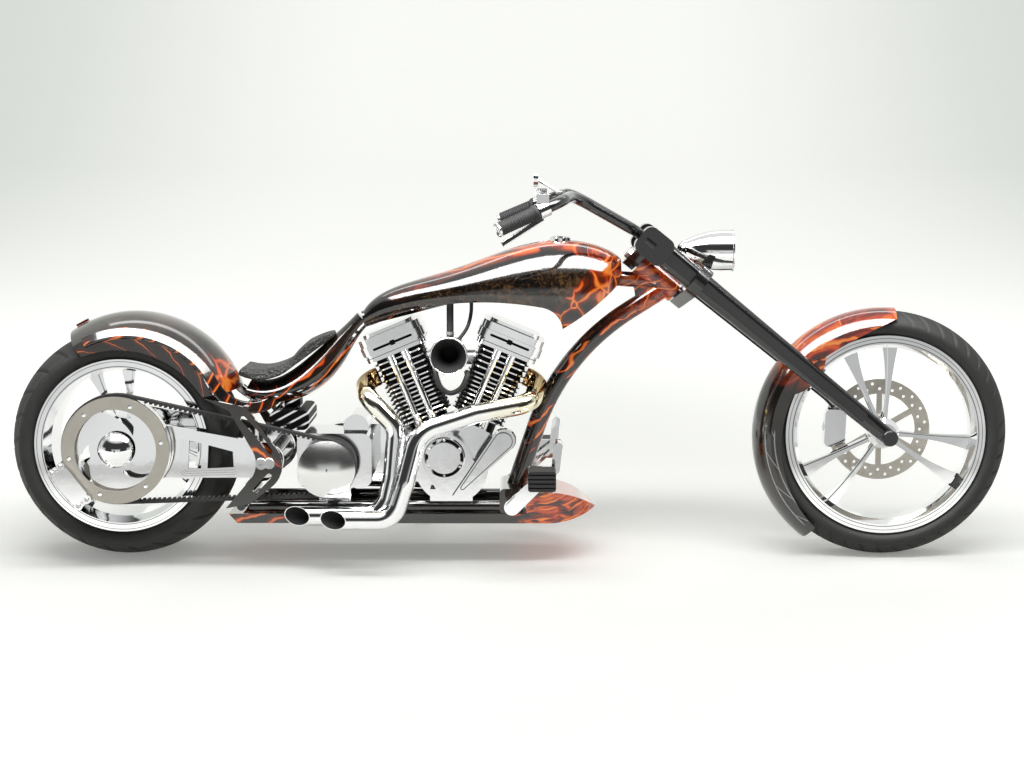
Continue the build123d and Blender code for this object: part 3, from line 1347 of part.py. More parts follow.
with BuildPart() as rear_caliper:
    caliper_middle = rear_axle + caliper_way * (caliper_low + caliper_high) / 2
    with BuildSketch(Plane(origin=caliper_middle - across * caliper_inner, x_dir=caliper_way, z_dir=(0, -1, 0))):
        RectangleRounded(caliper_high - caliper_low, caliper_span, caliper_ear_radius)
        with GridLocations(caliper_ear_spacing, caliper_span + caliper_ear_radius, 2, 2):
            Circle(caliper_ear_radius)
    extrude(amount=caliper_outer - caliper_inner)
    with BuildSketch(wheel_face(rear_axle, disc_right - caliper_slot)):
        Circle(rear_disc_radius + caliper_slot)
    extrude(amount=disc_thickness + 2 * caliper_slot, mode=Mode.SUBTRACT)
    with BuildSketch(wheel_face(rear_axle, pulley_outer_right)):
        Circle(disc_post_circle + disc_post_radius + caliper_slot)
    extrude(amount=disc_right - pulley_outer_right, mode=Mode.SUBTRACT)
    with BuildSketch(side_plane(arm_inner + arm_thickness)):
        with Locations(ray(rear_axle, lug_reach, rear_caliper_angle)):
            Circle(11)
    extrude(amount=caliper_inner - arm_inner - arm_thickness)
keep(rear_caliper, "rear_caliper")

# Foot controls on each side: shaft and toe peg, a split pedal arm, and a ribbed foot peg on its plate
peg_x = 1183.0
peg_z = 263.0
peg_long = 76.0
peg_high = 56.0
peg_corner = 8.0
peg_end = 340.0
peg_ribs = 4
peg_rib_pitch = 12.0
peg_rib_depth = 8.0
plate_face = 244.0
foot_bar_table = [
    # x, z, right start, right end, radius
    (1101.0, 172.0, rail_right + rail_radius, plate_face + 2, 13.0),
    (1229.0, 352.0, 224.0, 292.0, 11.0),
]
foot_arm_table = [
    # right start, thickness, x, z, radius of one end and of the other, whether it is cut out
    (plate_face - 11, 13.0, (1101.0, 172.0, 17.0), (1172.0, 250.0, 15.0), Mode.ADD),
    (216.0, 14.0, (1101.0, 172.0, 22.0), (1221.0, 278.0, 12.0), Mode.ADD),
    (216.0, 14.0, (1221.0, 278.0, 12.0), (1229.0, 352.0, 12.0), Mode.ADD),
    (215.0, 16.0, (1124.0, 192.0, 8.0), (1205.0, 263.0, 5.0), Mode.SUBTRACT),
]
with BuildPart() as feet:
    for start, thickness, one, other, mode in foot_arm_table:
        with BuildSketch(side_plane(start)):
            for x, z, radius in (one, other):
                with Locations((x, z)):
                    Circle(radius)
            make_hull()
        extrude(amount=thickness, mode=mode)
    for x, z, start, stop, radius in foot_bar_table:
        with BuildSketch(side_plane(start)):
            with Locations((x, z)):
                Circle(radius)
        extrude(amount=stop - start)
    with BuildSketch(side_plane(plate_face)):
        with Locations((peg_x, peg_z)):
            RectangleRounded(peg_long, peg_high, peg_corner)
    extrude(amount=peg_end - plate_face)
    with BuildSketch(side_plane(peg_end - peg_rib_depth)):
        with Locations((peg_x, peg_z)):
            with GridLocations(0, peg_rib_pitch, 1, peg_ribs):
                Rectangle(peg_long, peg_rib_pitch / 3)
    extrude(amount=peg_rib_depth, mode=Mode.SUBTRACT)
    mirror(about=Plane.XZ)
keep(feet, "foot_controls")

# Tail lamp on the fender's tip, and the front brake hose along the back of the left leg
lamp_angle = 118.0
tail_way = Vector(cos(radians(lamp_angle)), 0, sin(radians(lamp_angle)))
with BuildPart() as tail_lamp:
    with BuildSketch(Plane(origin=hoop_centre + tail_way * (rear_fender_radius + seat_gap), z_dir=tail_way)):
        SlotOverall(40, 20)
    extrude(amount=7)
keep(tail_lamp, "tail_lamp")
hose_radius = 4.0


def leg_back(height):
    """How far ahead of the steering axis a hose lies on the back of a fork leg at a height."""
    half = (leg_width_foot + (leg_width_top - leg_width_foot) * height / leg_top) / 2
    return fork_offset - half - hose_radius - seat_gap


hose_points = [
    fork_plane(146, leg_back(146) - 4, -(disc_left + disc_thickness / 2)).origin,
    fork_plane(176, leg_back(176), -(disc_left + disc_thickness / 2)).origin,
    fork_plane(214, leg_back(214), -leg_right).origin,
    fork_plane(lower_yoke_height - seat_gap, leg_back(lower_yoke_height), -leg_right).origin,
]
with BuildPart() as hose:
    with BuildLine() as hose_path:
        FilletPolyline(*hose_points, radius=14)
    with BuildSketch(Plane(origin=hose_points[0], z_dir=hose_points[1] - hose_points[0])):
        Circle(hose_radius)
    sweep(path=hose_path.line)
keep(hose, "brake_hose")

# Parking: lean every piece over onto the stand, with the origin on the floor under the middle
middle_ahead = (wheelbase + front_tyre_radius - rear_tyre_radius) / 2
middle_left = 87.76
parked = Location((-middle_ahead, -middle_left, crown_lift), (-lean, 0, 0))
for node, shape in pieces.items():
    parked_piece = shape.moved(parked)
    parked_piece.label = node
    export_step(parked_piece, f"parts/{node}.step")
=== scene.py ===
# %% [markdown]
# # The looks of a long raked chopper
# The imported model gives every rigid piece of the machine in its right place, leaning on its side stand. This
# lesson dresses it: paint with airbrushed fire, chrome, rubber, leather, the tread of the tyres and the
# small pieces that are too fine for the solids. First the frame is loaded.

# %% Load the imported machine
import json
import math

import bmesh
import bpy
import numpy as np
from mathutils import Matrix


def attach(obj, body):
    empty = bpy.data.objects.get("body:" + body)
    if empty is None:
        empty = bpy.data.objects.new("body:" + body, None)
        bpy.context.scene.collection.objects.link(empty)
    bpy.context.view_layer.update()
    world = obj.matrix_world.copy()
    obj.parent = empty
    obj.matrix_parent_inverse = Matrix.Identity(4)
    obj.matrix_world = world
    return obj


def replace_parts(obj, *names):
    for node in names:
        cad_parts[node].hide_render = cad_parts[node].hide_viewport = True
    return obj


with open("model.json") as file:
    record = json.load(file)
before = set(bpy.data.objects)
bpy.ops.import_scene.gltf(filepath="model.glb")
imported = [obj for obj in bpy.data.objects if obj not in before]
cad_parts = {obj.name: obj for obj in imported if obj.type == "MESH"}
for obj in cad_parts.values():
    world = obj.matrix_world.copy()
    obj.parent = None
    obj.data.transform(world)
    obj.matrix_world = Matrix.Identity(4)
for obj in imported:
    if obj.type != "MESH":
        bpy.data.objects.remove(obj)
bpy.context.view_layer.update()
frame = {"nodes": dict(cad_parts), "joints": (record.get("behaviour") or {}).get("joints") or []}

nodes = frame["nodes"]
scene = bpy.context.scene

# %% [markdown]
# The machine was drawn upright and then leaned over. Shapes and patterns are far easier to place in its own
# upright coordinates: metres ahead of the rear axle, to the left, and up from the floor line of its tyres.
# The rear wheel's joint gives all that is needed, because it passes through the axle and points to the left.

# %% The machine's own coordinates
joints = {joint["name"]: joint for joint in frame["joints"]}
REAR_HUB_HEIGHT = 0.326
WHEELBASE = 2.160
FRONT_HUB_HEIGHT = 0.350
left = np.array(joints["rear_wheel_spin"]["axis"])
ahead = np.array([1.0, 0.0, 0.0])
up = np.cross(ahead, left)
lean = math.atan2(-left[2], left[1])
ground = np.array(joints["rear_wheel_spin"]["pos_m"]) - REAR_HUB_HEIGHT * up


def turned(ways):
    """Directions in machine coordinates turned into the leaned frame: each part along its own axis, added."""
    ways = np.asarray(ways, float)
    return ways[..., :1] * ahead + ways[..., 1:2] * left + ways[..., 2:] * up


def parked(points):
    """Points in machine coordinates moved into the leaned frame: the ground point plus the turned offsets."""
    return ground + turned(points)


print("lean in degrees:", round(math.degrees(lean), 2), "ground point:", ground.round(4))

# %% [markdown]
# The photograph was taken from the machine's right with a long lens, a little above the tank. A camera is a
# place and three directions; here they were found by fitting known points of the machine to the picture, and
# they are written in machine coordinates, so that the machine fills the frame as it does in the photograph.

# %% Camera
LENS_PIXELS = 2008.1
IMAGE_WIDTH = 1024
SENSOR_WIDTH = 36.0
CAMERA_PLACE = (1.1376, -5.6975, 1.1901)
CAMERA_PAN = -0.0067
CAMERA_PITCH = 0.1226
forward = np.array([
    math.sin(CAMERA_PAN) * math.cos(CAMERA_PITCH),
    math.cos(CAMERA_PAN) * math.cos(CAMERA_PITCH),
    -math.sin(CAMERA_PITCH),
])
sideways = np.array([math.cos(CAMERA_PAN), -math.sin(CAMERA_PAN), 0.0])
upright = np.cross(sideways, forward)
camera_data = bpy.data.cameras.new("camera")
camera_data.sensor_width = SENSOR_WIDTH
camera_data.sensor_fit = "HORIZONTAL"
camera_data.lens = LENS_PIXELS * SENSOR_WIDTH / IMAGE_WIDTH
camera_data.clip_end = 60.0
camera = bpy.data.objects.new("camera", camera_data)
scene.collection.objects.link(camera)
camera_matrix = np.eye(4)
camera_matrix[:3, :3] = turned(np.stack([sideways, upright, -forward])).T
camera_matrix[:3, 3] = parked(np.array(CAMERA_PLACE))
camera.matrix_world = Matrix(camera_matrix)
scene.camera = camera
print("lens in mm:", round(camera_data.lens, 1), "camera at", camera_matrix[:3, 3].round(2))

# %% [markdown]
# Shader maths reads best as ordinary expressions. This class stands for one socket of a material: adding,
# multiplying or comparing such sockets adds the Math nodes. Its method `node` adds any other node, sets it
# up, and then gives its inputs a value or a link.

# %% A socket that can be calculated with
class Wire:
    """One socket of a node tree; arithmetic on it adds Math nodes, whichever side it stands on."""

    def __init__(self, tree, socket=None):
        self.tree = tree
        self.socket = socket

    def node(self, kind, settings=(), values=(), out=0):
        """Adds a node: its settings first, a ramp's stops among them, then a value or link for each input."""
        made = self.tree.nodes.new(kind)
        for key, value in dict(settings).items():
            if key == "stops":
                row = made.color_ramp.elements
                row.remove(row[1])
                row[0].position, row[0].color = value[0]
                for position, colour in value[1:]:
                    row.new(position).color = colour
            else:
                setattr(made, key, value)
        for key, value in dict(values).items():
            if isinstance(value, Wire):
                self.tree.links.new(value.socket, made.inputs[key])
            else:
                made.inputs[key].default_value = value
        return Wire(self.tree, made.outputs[out])

    def maths(self, operation, first, second=0.0):
        """One Math node with two inputs."""
        return self.node("ShaderNodeMath", {"operation": operation}, {0: first, 1: second})

    def __add__(self, other):
        return self.maths("ADD", self, other)

    def __sub__(self, other):
        return self.maths("SUBTRACT", self, other)

    def __rsub__(self, other):
        return self.maths("SUBTRACT", other, self)

    def __mul__(self, other):
        return self.maths("MULTIPLY", self, other)

    def __truediv__(self, other):
        return self.maths("DIVIDE", self, other)

    def __rtruediv__(self, other):
        return self.maths("DIVIDE", other, self)

    def __pow__(self, other):
        return self.maths("POWER", self, other)

    def __abs__(self):
        return self.maths("ABSOLUTE", self)

    def __or__(self, other):
        return self.maths("MAXIMUM", self, other)

    def __and__(self, other):
        return self.maths("MINIMUM", self, other)

    __radd__ = __add__
    __rmul__ = __mul__


print("sockets can be calculated with")

# %% [markdown]
# Patterns are built from a few shapes of a number: a smooth step, a narrow bump, a ramp of colours and cloud
# noise. Each is one node with a plain name here, so the finishes below read as sentences. Places are
# vectors, so they are stretched and pushed about with Vector Math.

# %% Helpers for patterns
def rises(value, low, high):
    """A smooth step: 0 below low, 1 above high, and an S-shaped slope between."""
    return value.node("ShaderNodeMapRange", {"interpolation_type": "SMOOTHSTEP"},
                      {"Value": value, "From Min": low, "From Max": high})


def bump_near(value, middle, half):
    """1 at the middle, falling smoothly to 0 at half either side of it."""
    return 1 - rises(abs(value - middle), 0.0, half)


def mixed(share, first, second):
    """A colour between two colours, by share."""
    return share.node("ShaderNodeMix", {"data_type": "RGBA"}, {0: share, 6: first, 7: second}, out=2)


def ramp(value, *stops):
    """A colour read from a row of stops, each a position and a colour."""
    return value.node("ShaderNodeValToRGB", {"stops": [(p, (*c, 1.0)) for p, c in stops]}, {"Fac": value})


def noise(place, scale, detail=2.0, roughness=0.5, distortion=0.0, out=0):
    """Smooth cloud noise between 0 and 1, about one blob for each 1/scale metres."""
    return place.node("ShaderNodeTexNoise", {}, {
        "Vector": place, "Scale": scale, "Detail": detail, "Roughness": roughness, "Distortion": distortion,
    }, out)


def stretched(place, factors):
    """The same place with each axis multiplied, so that a pattern gets longer along the small factors."""
    return place.node("ShaderNodeVectorMath", {"operation": "MULTIPLY"}, {0: place, 1: factors})


def shifted(place, other, amount):
    """A place pushed about by a colour or vector, amount metres at most."""
    pushed = place.node("ShaderNodeVectorMath", {"operation": "SCALE"}, {0: other, "Scale": amount})
    return place.node("ShaderNodeVectorMath", {"operation": "ADD"}, {0: place, 1: pushed})


def axes(place):
    """The three parts of a vector as three wires."""
    parts = place.node("ShaderNodeSeparateXYZ", {}, {0: place})
    sockets = parts.socket.node.outputs
    return [Wire(place.tree, sockets[index]) for index in range(3)]


print("pattern helpers ready")

# %% [markdown]
# Every finish starts the same way: a material with its shader, and the place on the machine. An object's own
# coordinates are those of the leaned frame here, so one Mapping node turns them upright. Then each pattern
# can be written in metres ahead, left and up.

# %% A new finish
def new_finish(name, constants):
    """A material, its shader and a wire of machine coordinates; the constants hold all over it."""
    material = bpy.data.materials.new(name)
    material.use_nodes = True
    tree = material.node_tree
    shader = tree.nodes["Principled BSDF"]
    for socket, value in constants.items():
        shader.inputs[socket].default_value = value
    first = Wire(tree)
    own = first.node("ShaderNodeTexCoord", out="Object")
    back = -np.array([ahead, left, up]) @ ground
    place = first.node("ShaderNodeMapping", {}, {
        "Vector": own, "Rotation": (lean, 0.0, 0.0), "Location": tuple(back)})
    return material, shader, place


def feed(shader, socket, wire):
    """Links a wire into one of the shader's inputs."""
    wire.tree.links.new(wire.socket, shader.inputs[socket])


def bumped(shader, height, distance, strength=1.0):
    """Raises the surface by a height field, distance metres for a height of 1."""
    feed(shader, "Normal", height.node("ShaderNodeBump", {}, {
        "Height": height, "Distance": distance, "Strength": strength}))


print("finishes can begin")

# %% [markdown]
# Chrome is not one flat grey: polishing leaves a faint haze that comes and goes, and castings keep a soft
# waviness under the plating. Both come from cloud noise: a fine one that changes the roughness a little, and
# a broad shallow one that bends the reflections.

# %% Chrome and bare metals
def metal(name, colour, roughness, haze, wave, wave_scale, tone=0.06):
    """A metal: its roughness drifts by haze, its surface waves by wave metres, its tone varies by tone."""
    material, shader, place = new_finish(name, {"Metallic": 1.0})
    cloud = noise(place, 14.0, 4.0, 0.6)
    fine = noise(place, 160.0, 3.0, 0.6)
    feed(shader, "Roughness", roughness + haze * (cloud * 0.6 + fine * 0.4))
    dark = tuple(c * (1.0 - tone) for c in colour)
    feed(shader, "Base Color", mixed(cloud, (*dark, 1.0), (*colour, 1.0)))
    bumped(shader, noise(place, wave_scale, 2.0), wave)
    return material


# name, colour, roughness, haze, wave, wave scale, tone
chrome = metal("mirror chrome", (0.92, 0.92, 0.93), 0.02, 0.05, 0.00006, 22.0)
show_chrome = metal("polished casting", (0.86, 0.86, 0.87), 0.05, 0.10, 0.00006, 46.0)
cover_metal = metal("ground cover", (0.80, 0.80, 0.79), 0.14, 0.12, 0.0001, 60.0)
satin_metal = metal("satin casting", (0.60, 0.60, 0.61), 0.24, 0.18, 0.0006, 300.0, 0.15)
bolt_metal = metal("bolt plating", (0.72, 0.71, 0.69), 0.16, 0.12, 0.0002, 200.0, 0.12)
print("metals:", [finish.name for finish in (chrome, show_chrome, cover_metal, satin_metal, bolt_metal)])

# %% [markdown]
# Brake rings are ground flat, which leaves fine rings about the hub and a warm grey. Rims are turned on a
# lathe and plated, and two thin dark lines are painted round their lips: painted reflections of dark
# surroundings in the curved lip. Both patterns depend only on the distance from the hub in the side view, so
# one helper works that out, and noise or a narrow band is read along it.

# %% Brake rings and rims
# The dark lines on the rims are painted reflections, placed where the curved lips would mirror dark
# surroundings.
RIM_BRIGHT, RIM_REFLECTION_DARK, REFLECTION_STRIPE_DARKNESS = (0.93, 0.93, 0.94, 1.0), (0.05, 0.05, 0.055, 1.0), 0.9
REAR_REFLECTION_STRIPES = ((0.2385, 0.0016), (0.2245, 0.0024))  # radius and half width of each
FRONT_REFLECTION_STRIPES = ((0.2745, 0.0016), (0.2640, 0.0024))


def hub_distance(x, z, hub_x, hub_z):
    """Distance from a hub in the side view: the root of the two squared offsets."""
    return ((x - hub_x) ** 2.0 + (z - hub_z) ** 2.0) ** 0.5


def brake_finish(name, hub_x, hub_z):
    """Ground steel: fine rings about the hub in a warm grey, with a slow cloud over them."""
    material, shader, place = new_finish(name, {"Metallic": 0.75})
    x, y, z = axes(place)
    radius = hub_distance(x, z, hub_x, hub_z)
    rings = noise(place.node("ShaderNodeCombineXYZ", {}, {0: radius * 900.0, 1: y * 40.0}), 1.0, 3.0)
    tone = rings * 0.6 + noise(place, 26.0, 3.0) * 0.4
    feed(shader, "Base Color", mixed(tone, (0.40, 0.37, 0.32, 1.0), (0.64, 0.61, 0.55, 1.0)))
    feed(shader, "Roughness", 0.36 + rings * 0.16)
    bumped(shader, rings, 0.0002)
    return material


def rim_finish(name, hub_x, hub_z, stripes):
    """Chrome turned on a lathe: thin dark lines at some radii, which are painted reflections of dark
    surroundings in the curved lips, and a haze that drifts round the rim.
    """
    material, shader, place = new_finish(name, {"Metallic": 1.0})
    x, y, z = axes(place)
    radius = hub_distance(x, z, hub_x, hub_z)
    cloud = noise(place, 9.0, 3.0)
    shade = cloud * 0.05
    # Each dark line is a painted reflection of dark surroundings.
    for stripe_radius, half in stripes:
        shade = shade | (bump_near(radius, stripe_radius, half) * REFLECTION_STRIPE_DARKNESS)
    feed(shader, "Base Color", mixed(shade, RIM_BRIGHT, RIM_REFLECTION_DARK))
    feed(shader, "Roughness", 0.02 + cloud * 0.05)
    bumped(shader, noise(place, 12.0, 1.0), 0.0003)
    return material


rear_rim_chrome = rim_finish("rear rim chrome", 0.0, REAR_HUB_HEIGHT, REAR_REFLECTION_STRIPES)
front_rim_chrome = rim_finish("front rim chrome", WHEELBASE, FRONT_HUB_HEIGHT, FRONT_REFLECTION_STRIPES)
rear_ring_steel = brake_finish("rear ring steel", 0.0, REAR_HUB_HEIGHT)
front_ring_steel = brake_finish("front ring steel", WHEELBASE, FRONT_HUB_HEIGHT)
print("rims:", len(REAR_REFLECTION_STRIPES), "grooves behind and", len(FRONT_REFLECTION_STRIPES), "in front")

# %% [markdown]
# The engine's castings are polished, but what lies deep in them is in shade: the barrels behind the rims of
# the fins, and the floors of the slots in the rocker boxes. That shade is painted here: each such place is a
# region of the side view where the finish turns dull and black. A region is written with distances, across a
# cylinder's axis and up along it, so its edge stays clean at any size of picture.

# %% Painted shade on the cylinders
CRANK_X, CRANK_HEIGHT, CYLINDER_LEAN = 0.929, 0.220, math.radians(22.5)
FIN_ROOT, FIN_ROOT_SIDE = 0.0715, 0.0640
SLOT_HEIGHT, SLOT_HALF, SLOT_HALF_LONG, SLOT_SQUARE = 0.430, 0.0038, 0.060, 0.0073
SLOT_FLOOR, SLOT_FACE = 0.0945, 0.0953
SEAM_HEIGHT, SEAM_HALF, SEAM_HALF_LONG = 0.4085, 0.0017, 0.110


def within(value, half, soft=0.001):
    """1 where the value is nearer to 0 than half."""
    return 1 - rises(abs(value), half, half + soft)


def cylinder_axes(x, z):
    """For the rear and the front cylinder: distance across the cylinder's axis, and distance up along it."""
    x, z = x - CRANK_X, z - CRANK_HEIGHT
    cosine, sine = math.cos(CYLINDER_LEAN), math.sin(CYLINDER_LEAN)
    return [(x * cosine + z * (side * sine), z * cosine - x * (side * sine)) for side in (1.0, -1.0)]


def engine_finish(name, dark_mask):
    """Polished metal that turns dull black where the mask is 1; on cylinders, rocker boxes and covers this
    black is painted shade, on the oil tank it is real black paint.
    """
    material, shader, place = new_finish(name, {"Metallic": 1.0})
    black = dark_mask(*axes(place))
    cloud = noise(place, 24.0, 3.0)
    feed(shader, "Base Color", mixed(black, (0.86, 0.86, 0.87, 1.0), (0.010, 0.010, 0.010, 1.0)))
    feed(shader, "Roughness", (0.05 + cloud * 0.08) * (1 - black) + black * 0.55)
    bumped(shader, noise(place, 46.0, 2.0), 0.00008)
    return material


def fin_gap_shade(x, y, z):
    """Painted shade on the barrel and the roots of the fins, behind their polished rims."""
    (rear, _), (front, _) = cylinder_axes(x, z)
    return (within(rear, FIN_ROOT) | within(front, FIN_ROOT)) * within(y, FIN_ROOT_SIDE)


def slot_shade_and_seams(x, y, z):
    """On each rocker box: painted shade on the floor of a long slot and of the square in its middle, and a
    thin dark seam below.
    """
    slots, seams = 0.0, 0.0
    for across, along in cylinder_axes(x, z):
        square = within(along - SLOT_HEIGHT, SLOT_SQUARE) * within(across, SLOT_SQUARE)
        slots = within(along - SLOT_HEIGHT, SLOT_HALF) * within(across, SLOT_HALF_LONG) | square | slots
        seams = bump_near(along, SEAM_HEIGHT, SEAM_HALF) * within(across, SEAM_HALF_LONG) | seams
    return slots * (1 - rises(abs(y), SLOT_FLOOR, SLOT_FACE)) | seams


finned_metal = engine_finish("finned casting", fin_gap_shade)
rocker_metal = engine_finish("rocker box casting", slot_shade_and_seams)
print("cylinder finishes:", finned_metal.name, "and", rocker_metal.name)

# %% [markdown]
# Two covers close the timing side: a round one, whose face is ringed by painted shade on the sloping wall
# below it, and a long teardrop whose raised face is edged by a thin line of painted shade. The oil tank behind
# the engine is black with polished ribs. The painted ring is a band of the radius.
# The edge of the teardrop is a distance from its axis, less a radius that shrinks towards the foot.

# %% Engine covers and oil tank
CAM_MIDDLE = np.array([0.911, 0.0, 0.298])
CAM_FACE, CAM_SHADE_OUTER = 0.0443, 0.0560
TEAR_TOP, TEAR_FOOT = np.array([1.076, 0.346]), np.array([0.962, 0.214])
TEAR_RADIUS, TEAR_FOOT_RADIUS, TEAR_SHADE_LINE = 0.023, 0.003, 0.0022
RIB_SLOPE, RIB_FOOT, RIB_STEP = 0.55, 0.100, 0.026


def cover_shade_lines(x, y, z):
    """Painted shade: a broken dark ring round the round cover's face, and a dark line round the teardrop's
    raised face.
    """
    ring = hub_distance(x, z, CAM_MIDDLE[0], CAM_MIDDLE[2])
    gaps = noise(x.node("ShaderNodeCombineXYZ", {}, {0: x, 1: z}), 34.0, 1.0)
    ring_shade = rises(ring, CAM_FACE, CAM_FACE + 0.0010) * (1 - rises(ring, CAM_SHADE_OUTER - 0.0030, CAM_SHADE_OUTER))
    length = np.linalg.norm(TEAR_FOOT - TEAR_TOP)
    way_x, way_z = (TEAR_FOOT - TEAR_TOP) / length
    off_x, off_z = x - TEAR_TOP[0], z - TEAR_TOP[1]
    along = ((off_x * way_x + off_z * way_z) | 0.0) & length
    off_axis = hub_distance(off_x, off_z, along * way_x, along * way_z)
    edge = off_axis - TEAR_RADIUS + along * ((TEAR_RADIUS - TEAR_FOOT_RADIUS) / length)
    return ring_shade * rises(gaps, 0.40, 0.50) | bump_near(edge, TEAR_SHADE_LINE, TEAR_SHADE_LINE)


def between_ribs(x, y, z):
    """All of the oil tank but narrow ribs that climb forward: a sawtooth of the height over a sloping line."""
    rib = (z - x * RIB_SLOPE - RIB_FOOT) / RIB_STEP
    return rises(rib - rib.maths("FLOOR", rib), 0.22, 0.26)


engine_cover_metal = engine_finish("engine cover casting", cover_shade_lines)
ribbed_metal = engine_finish("ribbed oil tank", between_ribs)
print("cover finishes:", engine_cover_metal.name, "and", ribbed_metal.name)

# %% [markdown]
# The exhausts are chromed too, but near the cylinder heads the heat has turned the plating straw and gold,
# and inside the cut ends they are black with soot. The distance from the port gives the tint; the distance
# from the tail's centre line tells the inside of the tube from its outside.

# %% Exhaust finish
PIPE_INNER = 0.0256
PIPE_TAIL_HEIGHT = 0.138


def exhaust_finish(name, port, fade, tail_right, bend_x):
    """Chrome, gold near the port until fade metres away, sooty inside the straight tail behind bend_x."""
    material, shader, place = new_finish(name, {})
    x, y, z = axes(place)
    reach = ((x - port[0]) ** 2.0 + (y - port[1]) ** 2.0 + (z - port[2]) ** 2.0) ** 0.5
    cloud = noise(place, 18.0, 3.0)
    heat = 1 - rises(reach + (cloud - 0.5) * 0.12, 0.02, fade)
    plating = ramp(heat, (0.0, (0.90, 0.90, 0.91)), (0.35, (0.88, 0.82, 0.62)), (0.75, (0.74, 0.55, 0.22)),
                   (1.0, (0.42, 0.26, 0.12)))
    off_axis = ((y + tail_right) ** 2.0 + (z - PIPE_TAIL_HEIGHT) ** 2.0) ** 0.5
    inside = 1 - rises(off_axis, PIPE_INNER - 0.0006, PIPE_INNER + 0.0002)
    inside = inside * (1 - rises(x, bend_x - 0.02, bend_x))
    feed(shader, "Base Color", mixed(inside, plating, (0.004, 0.004, 0.004, 1.0)))
    feed(shader, "Metallic", 1 - inside)
    feed(shader, "Roughness", (0.03 + cloud * 0.05) * (1 - inside) + inside * 0.85)
    bumped(shader, noise(place, 30.0, 2.0), 0.00005)
    return material


front_pipe_finish = exhaust_finish("front exhaust chrome", (1.150, -0.034, 0.51), 0.30, 0.240, 0.74)
rear_pipe_finish = exhaust_finish("rear exhaust chrome", (0.715, -0.034, 0.51), 0.24, 0.178, 0.71)
print("exhaust finishes: 2")

# %% [markdown]
# The paint is deep black under clear lacquer, with fire airbrushed into it. Such fire is thin bright tongues
# that fork and close into loops. The borders between long warped cells do the same: on a border there is a
# bright line, and a wider band beside it glows dim red. A mask says where on each piece the fire burns, and
# how strongly.

# %% Fire paint
LACQUER = {"Coat Weight": 1.0, "Coat Roughness": 0.015, "Roughness": 0.12, "IOR": 1.5}
BLACK = (0.006, 0.0055, 0.005)
SMOKE = (0.030, 0.017, 0.010)


def tongues(place, stretch, scale, width, seed):
    """Fire strength 0 to 1 along the edges of long, warped cells, thicker where a cloud noise is high."""
    base = stretched(place, stretch)
    apart = (seed, seed * 0.7, seed * 1.3)
    base = base.node("ShaderNodeVectorMath", {"operation": "ADD"}, {0: base, 1: apart})
    warped = shifted(base, noise(base, scale * 0.6, 2.0, out=1), 1.3 / scale)
    edge = base.node("ShaderNodeTexVoronoi", {"feature": "DISTANCE_TO_EDGE"}, {
        "Vector": warped, "Scale": scale})
    reach = width * (0.15 + noise(base, scale * 0.8, 1.0) * 1.7)
    return 1 - rises(edge, 0.0, reach), 1 - rises(edge, 0.0, reach * 3.2)


def streaks(x, y, z, slope, spacing, length, width, seed):
    """Long licks along a flow that climbs at slope degrees: lines of one wavy coordinate across the flow,
    spacing apart, that swell and die out over length; a glow fades away on one side of each."""
    cosine, sine = math.cos(math.radians(slope)), math.sin(math.radians(slope))
    along = (x * cosine + z * sine) / length
    across = (z * cosine - x * sine + abs(y) * 0.7) / spacing
    here = x.node("ShaderNodeCombineXYZ", {}, {0: along + seed, 1: across * 0.35, 2: seed * 0.37})
    row = across + (noise(here, 1.1, 2.0, 0.5) - 0.5) * 2.2
    side = row - row.maths("FLOOR", row) - 0.5
    life = rises(noise(here, 2.1, 1.5), 0.30, 0.58)
    core = (1 - rises(abs(side), 0.0, life * width + 0.004)) * rises(life, 0.04, 0.25)
    glow = (1 - rises(abs(side - 0.16), 0.0, 0.34)) * life
    return core, glow


def fire_paint(name, fire, under=None, bands=()):
    """Black paint: fire(place, x, y, z) gives the strength of the lines and of the glow, under the colour
    below them, and bands lists (mask, colour) laid over all."""
    material, shader, place = new_finish(name, LACQUER)
    x, y, z = axes(place)
    core, glow = fire(place, x, y, z)
    haze = noise(place, 9.0, 3.0, 0.55)
    flake = noise(place, 900.0, 1.0)
    base = mixed(rises(haze, 0.35, 0.75) * (0.6 + flake * 0.4), (*BLACK, 1.0), (*SMOKE, 1.0))
    if under is not None:
        base = under(place, x, y, z, base)
    base = mixed(glow * 0.75, base, (0.27, 0.030, 0.004, 1.0))
    tongue = ramp(core, (0.0, (0.42, 0.024, 0.003)), (0.4, (0.78, 0.075, 0.006)), (0.8, (0.95, 0.19, 0.018)),
                  (1.0, (1.0, 0.33, 0.06)))
    base = mixed(rises(core, 0.02, 0.55), base, tongue)
    for mask, colour in bands:
        base = mixed(mask(place, x, y, z), base, (*colour, 1.0))
    feed(shader, "Base Color", base)
    bumped(shader, noise(place, 260.0, 2.0), 0.00006)
    return material


def blaze(here):
    """Red and orange clouds with dark gaps between them: the cloud itself, and the colour read from it."""
    cloud = noise(here, 1.0, 3.0, 0.55, 0.8)
    colour = ramp(rises(cloud, 0.30, 0.66), (0.0, (0.010, 0.004, 0.003)), (0.35, (0.20, 0.012, 0.003)),
                  (0.7, (0.62, 0.050, 0.006)), (1.0, (0.90, 0.17, 0.016)))
    return cloud, colour


print("fire paint ready")

# %% [markdown]
# On the tank the fire covers the nose and runs back along the top ridge. The flank carries a long panel of
# brown and black mottle, edged by a thin dark line. The panel's upper edge rises towards the nose and then
# turns down, so it is read from a ramp along the length of the tank.

# %% Tank paint
TANK_REAR, TANK_FRONT = 0.66, 1.46
PANEL_EDGE = (  # share of the length, height
    (0.0, 0.665), (0.17, 0.722), (0.37, 0.792), (0.57, 0.838), (0.70, 0.858), (0.76, 0.852), (0.80, 0.828),
    (0.83, 0.790), (1.0, 0.760))


